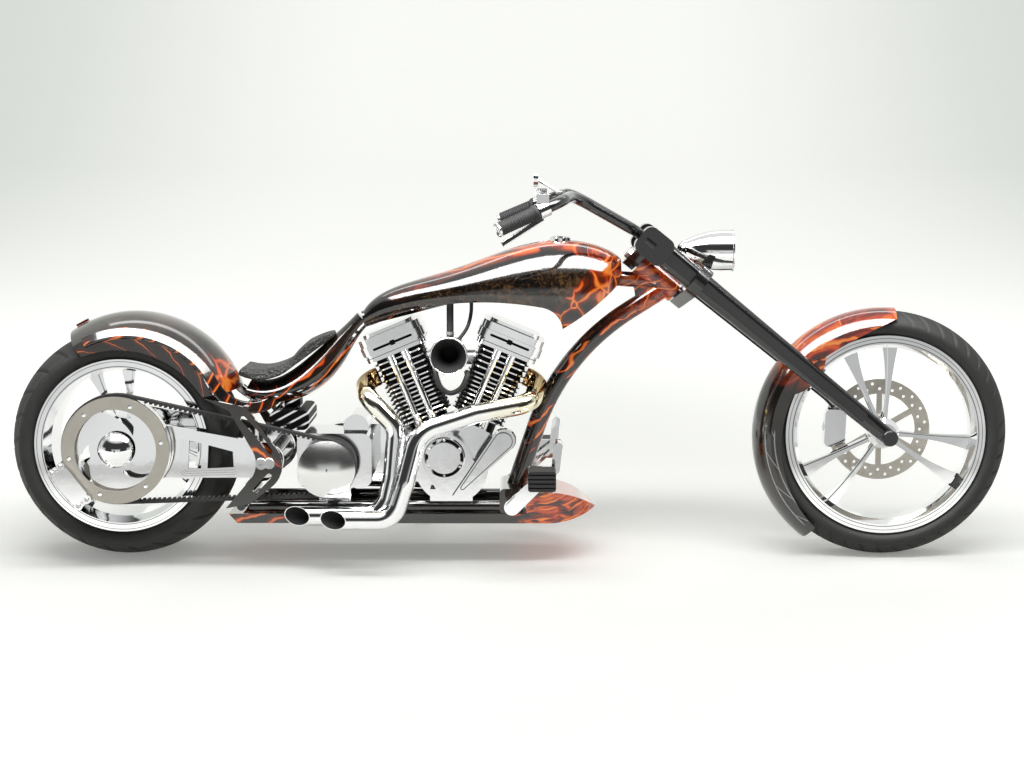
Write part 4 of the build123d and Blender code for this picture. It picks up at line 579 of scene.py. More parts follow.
def panel_top(x):
    """Height in metres of the panel's upper edge, from a row of stops along the tank."""
    along = (x - TANK_REAR) / (TANK_FRONT - TANK_REAR)
    return axes(ramp(along, *[(position, (height,) * 3) for position, height in PANEL_EDGE]))[0]


def nose_front(x, z):
    """0 behind a slanting line through the tank's nose, 1 in front of it."""
    return rises(x - z * 0.897, 0.570, 0.606)


def on_ridge(x, z):
    """0 on the flank and at the tail, 1 on the ridge above the panel."""
    return rises(z - panel_top(x), 0.012, 0.034) * rises(x, 0.72, 0.95)


def tank_fire(place, x, y, z):
    """Loops over the nose, streaks along the ridge above the panel."""
    nose = nose_front(x, z)
    ridge = on_ridge(x, z)
    loops, loop_glow = tongues(place, stretch=(0.75, 0.7, 0.6), scale=26.0, width=0.09, seed=3.1)
    above = z - panel_top(x)
    ridges, ridge_glow = streaks(x, y, above, slope=4.0, spacing=0.022, length=0.26, width=0.18, seed=7.9)
    return (loops * nose) | (ridges * ridge), (loop_glow * nose) | (ridge_glow * ridge)


def tank_panel(place, x, y, z, base):
    """Brown and black mottle below the panel's edge, a thin dark line along it, and a blaze on the ridge."""
    depth = panel_top(x) - z
    inside = rises(depth, -0.002, 0.002) * (1 - nose_front(x, z))
    blot = noise(place, 55.0, 5.0, 0.75, 1.2)
    cloud = noise(place, 11.0, 3.0)
    mottle = ramp(rises(blot + (cloud - 0.5) * 0.5, 0.36, 0.66), (0.0, (0.004, 0.003, 0.003)),
                  (0.45, (0.020, 0.011, 0.006)), (0.8, (0.075, 0.038, 0.016)), (1.0, (0.13, 0.068, 0.026)))
    fade = rises(z - 0.05 * x, 0.60, 0.72)
    base = mixed(inside * (0.35 + fade * 0.65), base, mottle)
    base = mixed(on_ridge(x, z) * 0.85, base, blaze(stretched(place, (9.0, 14.0, 34.0)))[1])
    return mixed(bump_near(depth, -0.004, 0.004), base, (0.002, 0.002, 0.002, 1.0))


tank_paint = fire_paint("tank paint", tank_fire, tank_panel)
print("tank paint:", tank_paint.name)

# %% [markdown]
# The tubes of the frame get the same fire. It is strongest at the steering head, which it covers, and it
# breaks into loose licks down the tube. On the spine it keeps to the lower edge, below the seat. Licks that
# follow a tube are lines across one slanting coordinate, which looks calmer on a narrow piece than cells do.

# %% Frame and spine paint
def frame_fire(place, x, y, z):
    """Strong at the steering head, sparse licks down the tube."""
    head = rises(x, 1.33, 1.44) * rises(z, 0.64, 0.70)
    sparse = rises(noise(place, 6.0, 1.0), 0.44, 0.56)
    core, glow = streaks(x, y, z, slope=38.0, spacing=0.034, length=0.10, width=0.20, seed=5.3)
    mask = head | (sparse * rises(z, 0.24, 0.32))
    return core * mask, glow * mask * (0.35 + head * 0.65) | head * rises(noise(place, 16.0, 2.0), 0.40, 0.62)


def head_blaze(place, x, y, z, base):
    """A burning steering head, dying out towards the tank and down the tube."""
    cloud, colour = blaze(stretched(place, (20.0, 14.0, 34.0)))
    return mixed(rises(x + (cloud - 0.5) * 0.14, 1.40, 1.50) * rises(z, 0.64, 0.70) * 0.9, base, colour)


def spine_fire(place, x, y, z):
    """Licks along the underside of the spine and where it meets the fender."""
    low = 1 - rises(z - 0.62 * (x - 0.42), 0.44, 0.50)
    tail = 1 - rises(x, 0.30, 0.42)
    core, glow = streaks(x, y, z, slope=36.0, spacing=0.036, length=0.16, width=0.20, seed=2.6)
    mask = low | tail
    return core * mask, glow * mask * 0.5


frame_paint = fire_paint("frame paint", frame_fire, head_blaze)
spine_paint = fire_paint("spine paint", spine_fire)
print("frame paints:", frame_paint.name, "and", spine_paint.name)

# %% [markdown]
# The rear fender is a hoop about the wheel. Tongues of fire stand on its skirts and lean forward, its front
# end burns, and a brown metallic mist lies on its crown. A hoop is painted most easily in the coordinates of
# its wheel, a radius and an angle: a tongue is then a line of one angle, slanted by the radius.

# %% Rear fender paint
LICK_SPACING, LICK_SLANT = 19.0, 430.0  # degrees between tongues, degrees of lean for a metre of radius
LICK_FOOT, LICK_TOP = 0.268, 0.335
SKIRT_INSIDE, SKIRT_OUTSIDE = 0.124, 0.130


def around(x, z, hub_x, hub_z):
    """Radius and angle in degrees about a hub in the side view, the angle counted up from ahead."""
    angle = x.maths("ARCTAN2", z - hub_z, x - hub_x) * (180.0 / math.pi)
    return hub_distance(x, z, hub_x, hub_z), angle + (1 - rises(angle, -1.0, 0.0)) * 360.0


def rear_fender_fire(place, x, y, z):
    """Tongues on the skirts that lean forward, and a burning front end by the seat."""
    radius, angle = around(x, z, 0.0, REAR_HUB_HEIGHT)
    step = (angle - (radius - 0.272) * LICK_SLANT) / LICK_SPACING + (noise(place, 20.0, 2.0) - 0.5) * 0.45
    off_line = abs(step - step.maths("FLOOR", step) - 0.5)
    skirt = rises(abs(y), SKIRT_INSIDE, SKIRT_OUTSIDE)
    licks = (1 - rises(off_line, 0.0, rises(radius, LICK_FOOT, LICK_TOP) * 0.15 + 0.015)) * skirt
    lick_glow = (1 - rises(off_line, 0.0, 0.30)) * skirt * 0.4
    core, glow = tongues(place, stretch=(0.9, 0.6, 0.6), scale=20.0, width=0.13, seed=4.4)
    front = (1 - rises(angle, 30.0, 52.0)) * (1 - skirt)
    return licks | (core * front), lick_glow | (glow * front)


def brown_crown(place, x, y, z, base):
    """A brown metallic mist over the crown of the fender."""
    mist = noise(place, 22.0, 4.0, 0.65)
    return mixed(rises(z, 0.60, 0.66) * rises(mist, 0.30, 0.75), base, (0.085, 0.050, 0.028, 1.0))


rear_fender_paint = fire_paint("rear fender paint", rear_fender_fire, brown_crown)
print("rear fender:", round(360.0 / LICK_SPACING, 1), "tongues to a full turn")

# %% [markdown]
# The front fender burns over its front half, from red to orange with dark gaps. Behind the fork it is black,
# and two thin silver lines with slanting strokes between them run down to its end. A silver line is a narrow
# band of the radius; a stroke is a narrow band of a slanted angle.

# %% Front fender paint
PIN_INNER, PIN_OUTER, PIN_HALF = 0.318, 0.343, 0.0028
PIN_FIRST, PIN_LAST = 176.0, 230.0


def front_fender_fire(place, x, y, z):
    """Fire over the front half of the hoop, dying out behind the fork."""
    radius, angle = around(x, z, WHEELBASE, FRONT_HUB_HEIGHT)
    along = angle * 0.0064
    core, glow = streaks(along, y, radius, slope=12.0, spacing=0.030, length=0.12, width=0.34, seed=2.2)
    mask = 1 - rises(angle, 136.0, 160.0)
    return core * mask, glow * mask


def fender_blaze(place, x, y, z, base):
    """Red and orange clouds over the front half of the hoop, with dark gaps."""
    radius, angle = around(x, z, WHEELBASE, FRONT_HUB_HEIGHT)
    here = place.node("ShaderNodeCombineXYZ", {}, {0: angle * 0.05, 1: radius * 26.0, 2: y * 12.0})
    cloud, colour = blaze(here)
    return mixed(1 - rises(angle + (cloud - 0.5) * 30.0, 140.0, 158.0), base, colour)


def pin_lines(place, x, y, z):
    """Two silver lines along the rear half of the front fender, joined by slanting strokes."""
    radius, angle = around(x, z, WHEELBASE, FRONT_HUB_HEIGHT)
    behind = rises(angle, PIN_FIRST, PIN_FIRST + 4.0) * (1 - rises(angle, PIN_LAST - 4.0, PIN_LAST))
    lines = bump_near(radius, PIN_INNER, PIN_HALF) | bump_near(radius, PIN_OUTER, PIN_HALF)
    slant = (angle + radius * 420.0) / 17.0
    stroke = bump_near(slant - slant.maths("FLOOR", slant) - 0.5, 0.0, 0.045)
    between = rises(radius, PIN_INNER, PIN_INNER + 0.002) * (1 - rises(radius, PIN_OUTER - 0.002, PIN_OUTER))
    return (lines | stroke * between) * behind * 0.9


front_fender_paint = fire_paint("front fender paint", front_fender_fire, fender_blaze,
                                [(pin_lines, (0.42, 0.43, 0.44))])
print("front fender:", front_fender_paint.name)

# %% [markdown]
# The belly pan closes the frame from below. Its nose burns broadly, and a lick or two cross its rear corner.
# The side plates by the swing arm carry one small lick across the waist. A mask along the length keeps each
# fire to its end of the piece.

# %% Belly pan and side plate paint
def pan_fire(place, x, y, z):
    """A burning nose, and one lick at the rear corner."""
    core, glow = streaks(x, y, z, slope=10.0, spacing=0.026, length=0.11, width=0.26, seed=6.6)
    mask = rises(x, 1.06, 1.20) | ((1 - rises(x, 0.40, 0.56)) * 0.9)
    return core * mask, glow * mask


def pan_blaze(place, x, y, z, base):
    """A broad blaze over the nose of the pan."""
    cloud, colour = blaze(stretched(place, (16.0, 10.0, 44.0)))
    return mixed(rises(x + (cloud - 0.5) * 0.16, 1.10, 1.20) * 0.95, base, colour)


def plate_fire(place, x, y, z):
    """One small lick across the waist of the side plate."""
    core, glow = streaks(x, y * 0.1, z, slope=-24.0, spacing=0.030, length=0.10, width=0.26, seed=9.4)
    mask = bump_near(z + x * 0.35, 0.463, 0.035)
    return core * mask, glow * mask * 0.5


pan_paint = fire_paint("belly pan paint", pan_fire, pan_blaze)
plate_paint = fire_paint("side plate paint", plate_fire)
print("low paints:", pan_paint.name, "and", plate_paint.name)

# %% [markdown]
# Fork, yokes and bar are plain black lacquer; belt, hose and pipes are moulded rubber. Black shows every
# change of gloss, so a slow cloud moves its tone and roughness, and a fine grain keeps the highlights soft.

# %% Plain blacks
def plain_black(name, colour, roughness, coat, grain):
    """Black lacquer or plastic: a fine grain in the surface and a slow drift in tone and gloss."""
    material, shader, place = new_finish(name, {"Coat Weight": coat, "Coat Roughness": 0.03})
    cloud = noise(place, 12.0, 4.0, 0.6)
    light = tuple(c * 1.8 for c in colour)
    feed(shader, "Base Color", mixed(cloud, (*colour, 1.0), (*light, 1.0)))
    feed(shader, "Roughness", roughness + cloud * 0.12)
    bumped(shader, noise(place, grain, 3.0), 0.00012)
    return material


fork_black = plain_black("fork black", (0.008, 0.008, 0.008), roughness=0.16, coat=0.7, grain=420.0)
rubber_black = plain_black("moulded rubber", (0.016, 0.016, 0.016), roughness=0.62, coat=0.0, grain=1200.0)
print("blacks:", fork_black.name, "and", rubber_black.name)

# %% [markdown]
# Tyre rubber is a dusty dark grey, paler where a bloom has come to the surface. The walls carry fine moulded
# rings. The bloom is cloud noise. The rings are a sawtooth of the radius, kept to the walls, and it feeds
# the bump, because rings this fine would cost too many faces.

# %% Tyre rubber
REAR_WALL, FRONT_WALL = 0.290, 0.312


def tyre_finish(name, hub_x, hub_z, wall_radius):
    """Dusty rubber: pale bloom on the tread, moulded rings on the walls inside wall_radius."""
    material, shader, place = new_finish(name, {"Specular IOR Level": 0.35})
    x, y, z = axes(place)
    radius = hub_distance(x, z, hub_x, hub_z)
    dust = noise(place, 34.0, 5.0, 0.7)
    fine = noise(place, 800.0, 2.0)
    wall = 1 - rises(radius, wall_radius - 0.004, wall_radius + 0.004)
    ring = radius * 190.0
    ring = abs(ring - ring.maths("FLOOR", ring) - 0.5) * wall
    bloom = dust * 0.7 + fine * 0.3
    feed(shader, "Base Color", mixed(bloom, (0.014, 0.014, 0.014, 1.0), (0.050, 0.049, 0.047, 1.0)))
    feed(shader, "Roughness", 0.52 + dust * 0.26)
    bumped(shader, ring * 0.8 + fine * 0.2, 0.0006)
    return material


rear_tyre_rubber = tyre_finish("rear tyre rubber", 0.0, REAR_HUB_HEIGHT, REAR_WALL)
front_tyre_rubber = tyre_finish("front tyre rubber", WHEELBASE, FRONT_HUB_HEIGHT, FRONT_WALL)
print("tyre rubbers:", rear_tyre_rubber.name, "and", front_tyre_rubber.name)

# %% [markdown]
# The seat's leather is black with scales: cells of a Voronoi pattern with sunken edges, pushed about a
# little so that no two are alike. The crowns of the scales are worn, so they are paler and shinier than the
# gaps.

# %% Scaled leather
def leather(name, scale, depth):
    """Black hide: cells with sunken edges and worn, shinier tops."""
    material, shader, place = new_finish(name, {"Sheen Weight": 0.12, "Sheen Roughness": 0.4})
    wobble = shifted(place, noise(place, 60.0, 2.0, out=1), 0.006)
    cell = wobble.node("ShaderNodeTexVoronoi", {"feature": "DISTANCE_TO_EDGE"}, {
        "Vector": wobble, "Scale": scale})
    crown = rises(cell, 0.02, 0.30)
    cloud = noise(place, 20.0, 3.0)
    worn = crown * (0.5 + cloud * 0.5)
    feed(shader, "Base Color", mixed(worn, (0.004, 0.004, 0.004, 1.0), (0.040, 0.037, 0.034, 1.0)))
    feed(shader, "Roughness", 0.58 - crown * 0.24 + cloud * 0.08)
    bumped(shader, crown, depth)
    return material


scale_leather = leather("scaled leather", scale=120.0, depth=0.0016)
print("leather:", scale_leather.name)

# %% [markdown]
# The lamps have moulded glass, clear in front and dark red at the tail. It is a shader that lets light
# through; its shallow grooves are a sine across the glass that feeds the bump, so the glass itself can stay
# simple.

# %% Lamp glass
def lens(name, colour, stripes):
    """Clear or tinted glass with shallow moulded grooves."""
    material, shader, place = new_finish(name, {
        "Base Color": (*colour, 1.0), "Transmission Weight": 1.0, "IOR": 1.48})
    x, y, z = axes(place)
    wave = y.maths("SINE", y * stripes)
    feed(shader, "Roughness", 0.02 + noise(place, 30.0, 2.0) * 0.05)
    bumped(shader, wave * 0.5 + 0.5, 0.0006)
    return material


clear_lens = lens("headlamp glass", (0.95, 0.97, 0.98), stripes=520.0)
red_lens = lens("tail lamp glass", (0.09, 0.004, 0.004), stripes=900.0)
print("glass:", clear_lens.name, "and", red_lens.name)

# %% [markdown]
# The foot controls are chromed, and each ends in a block of black rubber. Chrome and block are one solid, so
# the finish changes inside a box in the side view, and only outside a certain distance from the middle
# plane.

# %% Foot control finish
PEG_MIDDLE, PEG_HALF, PEG_INNER = (1.183, 0.263), (0.0385, 0.0285), 0.252


def peg_finish(name, middle, half, inner):
    """Chrome, but black rubber inside the block's box, further than inner metres from the middle plane."""
    material, shader, place = new_finish(name, {})
    x, y, z = axes(place)
    inside = within(x - middle[0], half[0]) * within(z - middle[1], half[1])
    inside = inside * rises(abs(y), inner, inner + 0.001)
    cloud = noise(place, 40.0, 3.0)
    feed(shader, "Base Color", mixed(inside, (0.90, 0.90, 0.91, 1.0), (0.018, 0.018, 0.018, 1.0)))
    feed(shader, "Metallic", 1 - inside)
    feed(shader, "Roughness", (0.03 + cloud * 0.05) * (1 - inside) + inside * (0.5 + cloud * 0.2))
    bumped(shader, noise(place, 40.0, 2.0), 0.00006)
    return material


peg_chrome = peg_finish("foot control chrome", PEG_MIDDLE, PEG_HALF, PEG_INNER)
print("foot control finish:", peg_chrome.name)

# %% [markdown]
# Now each solid gets its finish. The table names the finish once for every node that wears it.

# %% Dress the solids
dress = {
    tank_paint: ["fuel_tank"],
    frame_paint: ["frame_top", "frame_cradle", "side_stand"],
    spine_paint: ["seat_spine", "fender_struts"],
    rear_fender_paint: ["rear_fender"],
    front_fender_paint: ["front_fender"],
    pan_paint: ["belly_pan"],
    plate_paint: ["side_plates"],
    fork_black: ["fork_legs", "lower_yoke", "upper_yoke", "handlebar", "bar_posts", "cross_tubes"],
    ribbed_metal: ["oil_tank"],
    rubber_black: ["grips", "brake_hose", "drive_belt"],
    rear_rim_chrome: ["rear_rim"],
    front_rim_chrome: ["front_rim"],
    chrome: ["swing_arms", "headlamp_shell", "rear_pulley", "rear_axle", "primary_cover",
             "fuel_cap", "rear_caliper", "front_axle", "mirror", "pushrod_tubes"],
    finned_metal: ["cylinders"],
    rocker_metal: ["rocker_boxes"],
    engine_cover_metal: ["engine_covers"],
    show_chrome: ["crankcase", "gearbox", "hand_controls",
                  "intake_horn", "front_caliper", "fender_stays"],
    peg_chrome: ["foot_controls"],
    cover_metal: ["pulley_cover"],
    satin_metal: ["carburettor", "gearbox_pulley"],
    rear_ring_steel: ["rear_brake_disc"],
    front_ring_steel: ["front_brake_disc"],
    front_pipe_finish: ["exhaust_front"],
    rear_pipe_finish: ["exhaust_rear"],
    rear_tyre_rubber: ["rear_tyre"],
    front_tyre_rubber: ["front_tyre"],
    scale_leather: ["seat"],
    clear_lens: ["headlamp_lens"],
    red_lens: ["tail_lamp"],
}
for finish, names in dress.items():
    for name in names:
        nodes[name].data.materials.clear()
        nodes[name].data.materials.append(finish)
dressed = [name for names in dress.values() for name in names]
print("dressed:", len(dressed), "left:", sorted(set(nodes) - set(dressed)))

# %% [markdown]
# New pieces are surfaces on a grid: a function gives a point for each pair of parameters, and neighbouring
# points make the faces. One helper turns whole arrays of such points into a mesh, joins the seams and poles,
# points the faces outwards and hangs the piece on its body, so that it moves with it.

# %% Grids into pieces
def squares(rows, columns, close_rows=False, close_columns=False, copies=1):
    """Corner numbers of the squares between neighbouring rows and columns, for each copy of the grid."""
    steps_down, steps_along = rows - (not close_rows), columns - (not close_columns)
    i, j = np.meshgrid(np.arange(steps_down), np.arange(steps_along), indexing="ij")
    here, below = i * columns, (i + 1) % rows * columns
    j_next = (j + 1) % columns
    corners = np.stack([here + j, here + j_next, below + j_next, below + j], -1)
    steps = rows * columns * np.arange(copies)[:, None, None]
    return (corners.reshape(1, -1, 4) + steps).reshape(-1, 4)


def piece(name, points, faces, finish, body, smooth=True, sharp=0.6):
    """Makes a mesh from points in the leaned frame, merges doubles, turns faces outwards and hangs it."""
    mesh = bpy.data.meshes.new(name)
    mesh.from_pydata(points.reshape(-1, 3).tolist(), [], faces.tolist())
    shape = bmesh.new()
    shape.from_mesh(mesh)
    bmesh.ops.remove_doubles(shape, verts=shape.verts, dist=1e-6)
    bmesh.ops.dissolve_degenerate(shape, edges=shape.edges, dist=1e-7)
    bmesh.ops.recalc_face_normals(shape, faces=shape.faces)
    shape.to_mesh(mesh)
    shape.free()
    if smooth:
        mesh.shade_smooth()
        mesh.set_sharp_from_angle(angle=sharp)
    mesh.materials.append(finish)
    thing = bpy.data.objects.new(name, mesh)
    scene.collection.objects.link(thing)
    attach(thing, body)
    print(name, "faces:", len(mesh.polygons))
    return thing


print("grid helpers ready")

# %% [markdown]
# A tyre is a profile carried round the axle: a broad crown, bulging walls and the beads inside the rim. The
# road tread is cut into it here, because cutting it into the solids would cost far too many facets. Slanting
# cuts run from near the middle to the shoulders and mirror each other; their depth follows from the angle
# and from the distance across the tread.

# %% Tyres with tread
CUT_DEPTH = 0.0060


def arc(first, middle, last, count):
    """Points of the circle through three points: the centre is where the perpendicular bisectors meet."""
    a, b, c = (np.array(p, float) for p in (first, middle, last))
    rows = 2 * np.stack([b - a, c - a])
    centre = np.linalg.solve(rows, np.array([b @ b - a @ a, c @ c - a @ a]))
    turns = np.unwrap([math.atan2(*(p - centre)[::-1]) for p in (a, b, c)])
    swing = np.linspace(turns[0], turns[2], count)
    return centre + np.linalg.norm(a - centre) * np.stack([np.cos(swing), np.sin(swing)], -1)


def tread_depth(angle, across, cuts, slant, width, start, stop):
    """Depth 0 to 1 of slanting cuts: how near the angle, led on by the way across, is to a whole step."""
    share = np.abs(across)
    phase = (angle / (2 * math.pi) * cuts + slant * share + 0.5 * (across > 0)) % 1.0
    near = np.clip((width - np.abs(phase - 0.5)) / (0.35 * width), 0, 1)
    reach = np.clip((share - start) / 0.04, 0, 1) * np.clip((stop - share) / 0.04, 0, 1)
    return near * reach


def tyre(name, hub, radius, half, crown, bead, bead_half, pattern, around_count, finish, body):
    """The tyre's profile round its axle, pushed in along the radius where the tread is cut."""
    shoulder = half * 0.82
    shoulder_radius = radius - crown + math.sqrt(crown**2 - shoulder**2)
    bead_top = bead + 0.018
    flank = (shoulder_radius + bead_top) / 2
    top = arc((-shoulder, shoulder_radius), (0, radius), (shoulder, shoulder_radius), 27)
    wall = arc((shoulder, shoulder_radius), (half, flank), (bead_half, bead_top), 9)
    profile = np.concatenate([top, wall[1:], [(bead_half, bead), (-bead_half, bead)],
                              wall[:0:-1] * (-1, 1)])
    angle = np.linspace(0, 2 * math.pi, around_count, endpoint=False)
    across = profile[:, :1] / half
    on_tread = (profile[:, 1:] > bead_top + 0.5 * (shoulder_radius - bead_top)).astype(float)
    depth = tread_depth(angle[None], across, *pattern) * on_tread
    reach = profile[:, 1:] - CUT_DEPTH * depth
    spots = [hub[0] + reach * np.cos(angle), profile[:, :1] + 0 * reach, hub[2] + reach * np.sin(angle)]
    grid = np.stack(spots, -1)
    faces = squares(*grid.shape[:2], True, True)
    made = piece(name, parked(grid), faces, finish, body, sharp=0.9)
    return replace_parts(made, body.replace("wheel", "tyre"))


tyre("rear_road_tyre", (0.0, 0.0, REAR_HUB_HEIGHT), 0.326, 0.125, 0.180, 0.230, 0.106,
     (26, 0.9, 0.080, 0.16, 0.93), 1040, rear_tyre_rubber, "rear_wheel")
tyre("front_road_tyre", (WHEELBASE, 0.0, FRONT_HUB_HEIGHT), 0.350, 0.060, 0.064, 0.268, 0.043,
     (44, 1.1, 0.10, 0.22, 0.93), 1056, front_tyre_rubber, "front_wheel")

# %% [markdown]
# The seat is a leather cushion, drawn tight over foam. It starts as a copy of the solid, a little shrunk and
# with an even net of faces. Cloth with air pressure inside then rounds it: the under side is held, and no
# point may move further than a cap.

# %% Seat cushion
CUSHION_SHRINK, CUSHION_VOXEL, CUSHION_CAP, CUSHION_PRESSURE = 0.0035, 0.0045, 0.006, 4.0
CLOTH_STEPS, UNDERSIDE = 20, -0.35


def evaluated(thing):
    """A new mesh of the object as its modifiers leave it."""
    return bpy.data.meshes.new_from_object(thing.evaluated_get(bpy.context.evaluated_depsgraph_get()))


def read(rows, field):
    """One field of all corners or normals of a mesh, as an array of threes."""
    values = np.empty(3 * len(rows))
    rows.foreach_get(field, values)
    return values.reshape(-1, 3)


def cushion(name, node, finish):
    """Copy, shrink along the normals, remesh evenly, swell with air pressure, cap the movement."""
    mesh = nodes[node].data.copy()
    mesh.name = name
    shape = bmesh.new()
    shape.from_mesh(mesh)
    bmesh.ops.remove_doubles(shape, verts=shape.verts, dist=1e-5)
    shape.to_mesh(mesh)
    shape.free()
    start = read(mesh.vertices, "co") - CUSHION_SHRINK * read(mesh.vertex_normals, "vector")
    mesh.vertices.foreach_set("co", start.ravel())
    thing = bpy.data.objects.new(name, mesh)
    scene.collection.objects.link(thing)
    net = thing.modifiers.new("net", "REMESH")
    net.mode = "VOXEL"
    net.voxel_size = CUSHION_VOXEL
    thing.data = evaluated(thing)
    thing.modifiers.clear()
    start = read(thing.data.vertices, "co")
    below = read(thing.data.vertex_normals, "vector") @ up < UNDERSIDE
    held = thing.vertex_groups.new(name="held")
    held.add(np.flatnonzero(below).tolist(), 1.0, "REPLACE")
    cloth = thing.modifiers.new("cloth", "CLOTH")
    cloth.settings.use_pressure = True
    cloth.settings.uniform_pressure_force = CUSHION_PRESSURE
    cloth.settings.vertex_group_mass = "held"
    cloth.settings.effector_weights.gravity = 0.0
    for moment in range(1, CLOTH_STEPS + 1):
        scene.frame_set(moment)
    swollen = evaluated(thing)
    scene.frame_set(1)
    thing.modifiers.clear()
    thing.vertex_groups.clear()
    move = read(swollen.vertices, "co") - start
    far = np.linalg.norm(move, axis=1, keepdims=True)
    capped = start + move * np.minimum(1.0, CUSHION_CAP / far.clip(1e-9))
    thing.data.vertices.foreach_set("co", capped.ravel())
    print("cushion swelled by up to", round(1000 * float(np.minimum(far, CUSHION_CAP).max()), 1), "mm")
    thing.data.materials.clear()
    thing.data.materials.append(finish)
    thing.data.shade_smooth()
    finer = thing.modifiers.new("finer", "SUBSURF")
    finer.levels = finer.render_levels = 1
    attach(thing, "frame")
    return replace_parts(thing, node)


cushion("seat_cushion", "seat", scale_leather)

# %% [markdown]
# Screws are too many and too small for the solids. Each row of the table names a group: its places in the
# side view, the way its heads look and the size of one head. The brake ring's are nearly flush, because the
# caliper passes close over them.

# %% Screw heads
RIGHT = np.array([0.0, -1.0, 0.0])
REAR_HUB = np.array([0.0, 0.0, REAR_HUB_HEIGHT])
FRONT_HUB = np.array([WHEELBASE, 0.0, FRONT_HUB_HEIGHT])
CALIPER_ANGLE, CALIPER_SIDE, CALIPER_REACH = math.radians(218.0), 0.218, 0.160
EAR_STEP, EAR_SPREAD = 0.015, 0.058


def heads(name, places, ways, radius, height, finish, body, sides=10):
    """Round screw heads with a sunk middle: one small turned profile carried to each place along its way."""
    rings = np.array([(0.0, 1.0), (0.7, 1.0), (1.0, 0.8), (1.0, 0.5), (0.45, 0.42), (0.45, 0.0)])
    places, ways = np.atleast_2d(places), np.atleast_2d(ways) + np.zeros_like(np.atleast_2d(places))
    side = np.cross(ways, (0.31, 0.2, 0.93))
    side = side / np.linalg.norm(side, axis=1, keepdims=True)
    other = np.cross(ways, side)
    angle = np.linspace(0, 2 * math.pi, sides, endpoint=False)
    spokes = np.cos(angle)[None, :, None] * side[:, None] + np.sin(angle)[None, :, None] * other[:, None]
    points = (places[:, None, None] + height * rings[None, :, None, :1] * ways[:, None, None]
              + radius * rings[None, :, None, 1:] * spokes[:, None])
    faces = squares(len(rings), sides, close_columns=True, copies=len(places))
    return piece(name, parked(points), faces, finish, body)


def ring_places(hub, y, radius, first, count):
    """Places on a circle in the side view: equal steps of angle, counted up from the first."""
    angle = np.radians(first + 360.0 / count * np.arange(count))
    return np.stack([hub[0] + radius * np.cos(angle), np.full(count, y), hub[2] + radius * np.sin(angle)], -1)


caliper_out = np.array([math.cos(CALIPER_ANGLE), 0.0, math.sin(CALIPER_ANGLE)])
caliper_along = np.cross(RIGHT, caliper_out)
corners = np.array([(1, 1), (1, -1), (-1, 1), (-1, -1)])
caliper_ears = (REAR_HUB + CALIPER_SIDE * RIGHT + caliper_out * (CALIPER_REACH + EAR_STEP * corners[:, :1])
                + caliper_along * EAR_SPREAD * corners[:, 1:])
TEARDROP_TOP = np.array([1.078, 0.0, 0.348])
ring_circle = ring_places(REAR_HUB, -0.203, 0.130, 10, 6)
disc_circle = ring_places(FRONT_HUB, 0.0643, 0.110, 18, 8)
cam_circle = ring_places(CAM_MIDDLE, -0.153, 0.0495, 30, 6)
teardrop_arc = ring_places(TEARDROP_TOP, -0.155, 0.0272, 40, 4)[:3]
screws = [
    # name, places, way, radius, height, finish, body
    ("ring_bolts", ring_circle, RIGHT, 0.0060, 0.0010, chrome, "rear_wheel"),
    ("disc_rivets", disc_circle, -RIGHT, 0.0050, 0.0012, bolt_metal, "front_wheel"),
    ("cam_screws", cam_circle, RIGHT, 0.0036, 0.0025, bolt_metal, "frame"),
    ("teardrop_screws", teardrop_arc, RIGHT, 0.0034, 0.0025, bolt_metal, "frame"),
    ("caliper_bolts", caliper_ears, RIGHT, 0.0075, 0.0040, bolt_metal, "frame"),
]
for name, places, way, radius, height, finish, body in screws:
    heads(name, places, way, radius, height, finish, body)

# %% [markdown]
# Where the swing arm meets the side plate sits a small cap of two overlapping discs, one of them with a dark
# hole for the pivot's screw. Such round pieces are profiles carried round an axis; each profile gives the
# distance along the axis and the radius, and it begins and ends on the axis, so the piece is closed.

# %% Turned pieces: pivot caps, filler lid, stem nut, axle caps
def turned_about(profile, place, way, count):
    """Carries a profile (distance along the axis, radius) round an axis: a grid of profile by angle."""
    way = np.asarray(way, float) / np.linalg.norm(way)
    side = np.cross(way, (0.31, 0.0, 0.95))
    side = side / np.linalg.norm(side)
    other = np.cross(way, side)
    angle = np.linspace(0, 2 * math.pi, count, endpoint=False)
    spokes = np.cos(angle)[:, None] * side + np.sin(angle)[:, None] * other
    profile = np.asarray(profile, float)
    return np.asarray(place, float) + profile[:, None, :1] * way + profile[:, None, 1:] * spokes[None]


def turning(name, profile, place, way, finish, body, count=40, sharp=0.6):
    """A closed round piece: the profile carried once round the axis through place along way."""
    grid = turned_about(profile, place, way, count)
    faces = squares(*grid.shape[:2], close_columns=True)
    return piece(name, parked(grid), faces, finish, body, sharp=sharp)


def cap_profile(radius, height, hole=0.0):
    """Half a cap: a wall, a chamfer and a flat top, with a sunk hole if it has one."""
    chamfer = height * 0.3
    rim = [(0.0, 0.0), (0.0, radius), (height - chamfer, radius), (height, radius - chamfer)]
    if hole:
        rim = rim + [(height, hole), (height * 0.15, hole), (height * 0.15, 0.0)]
    return rim + [(height, 0.0)] * (not hole)


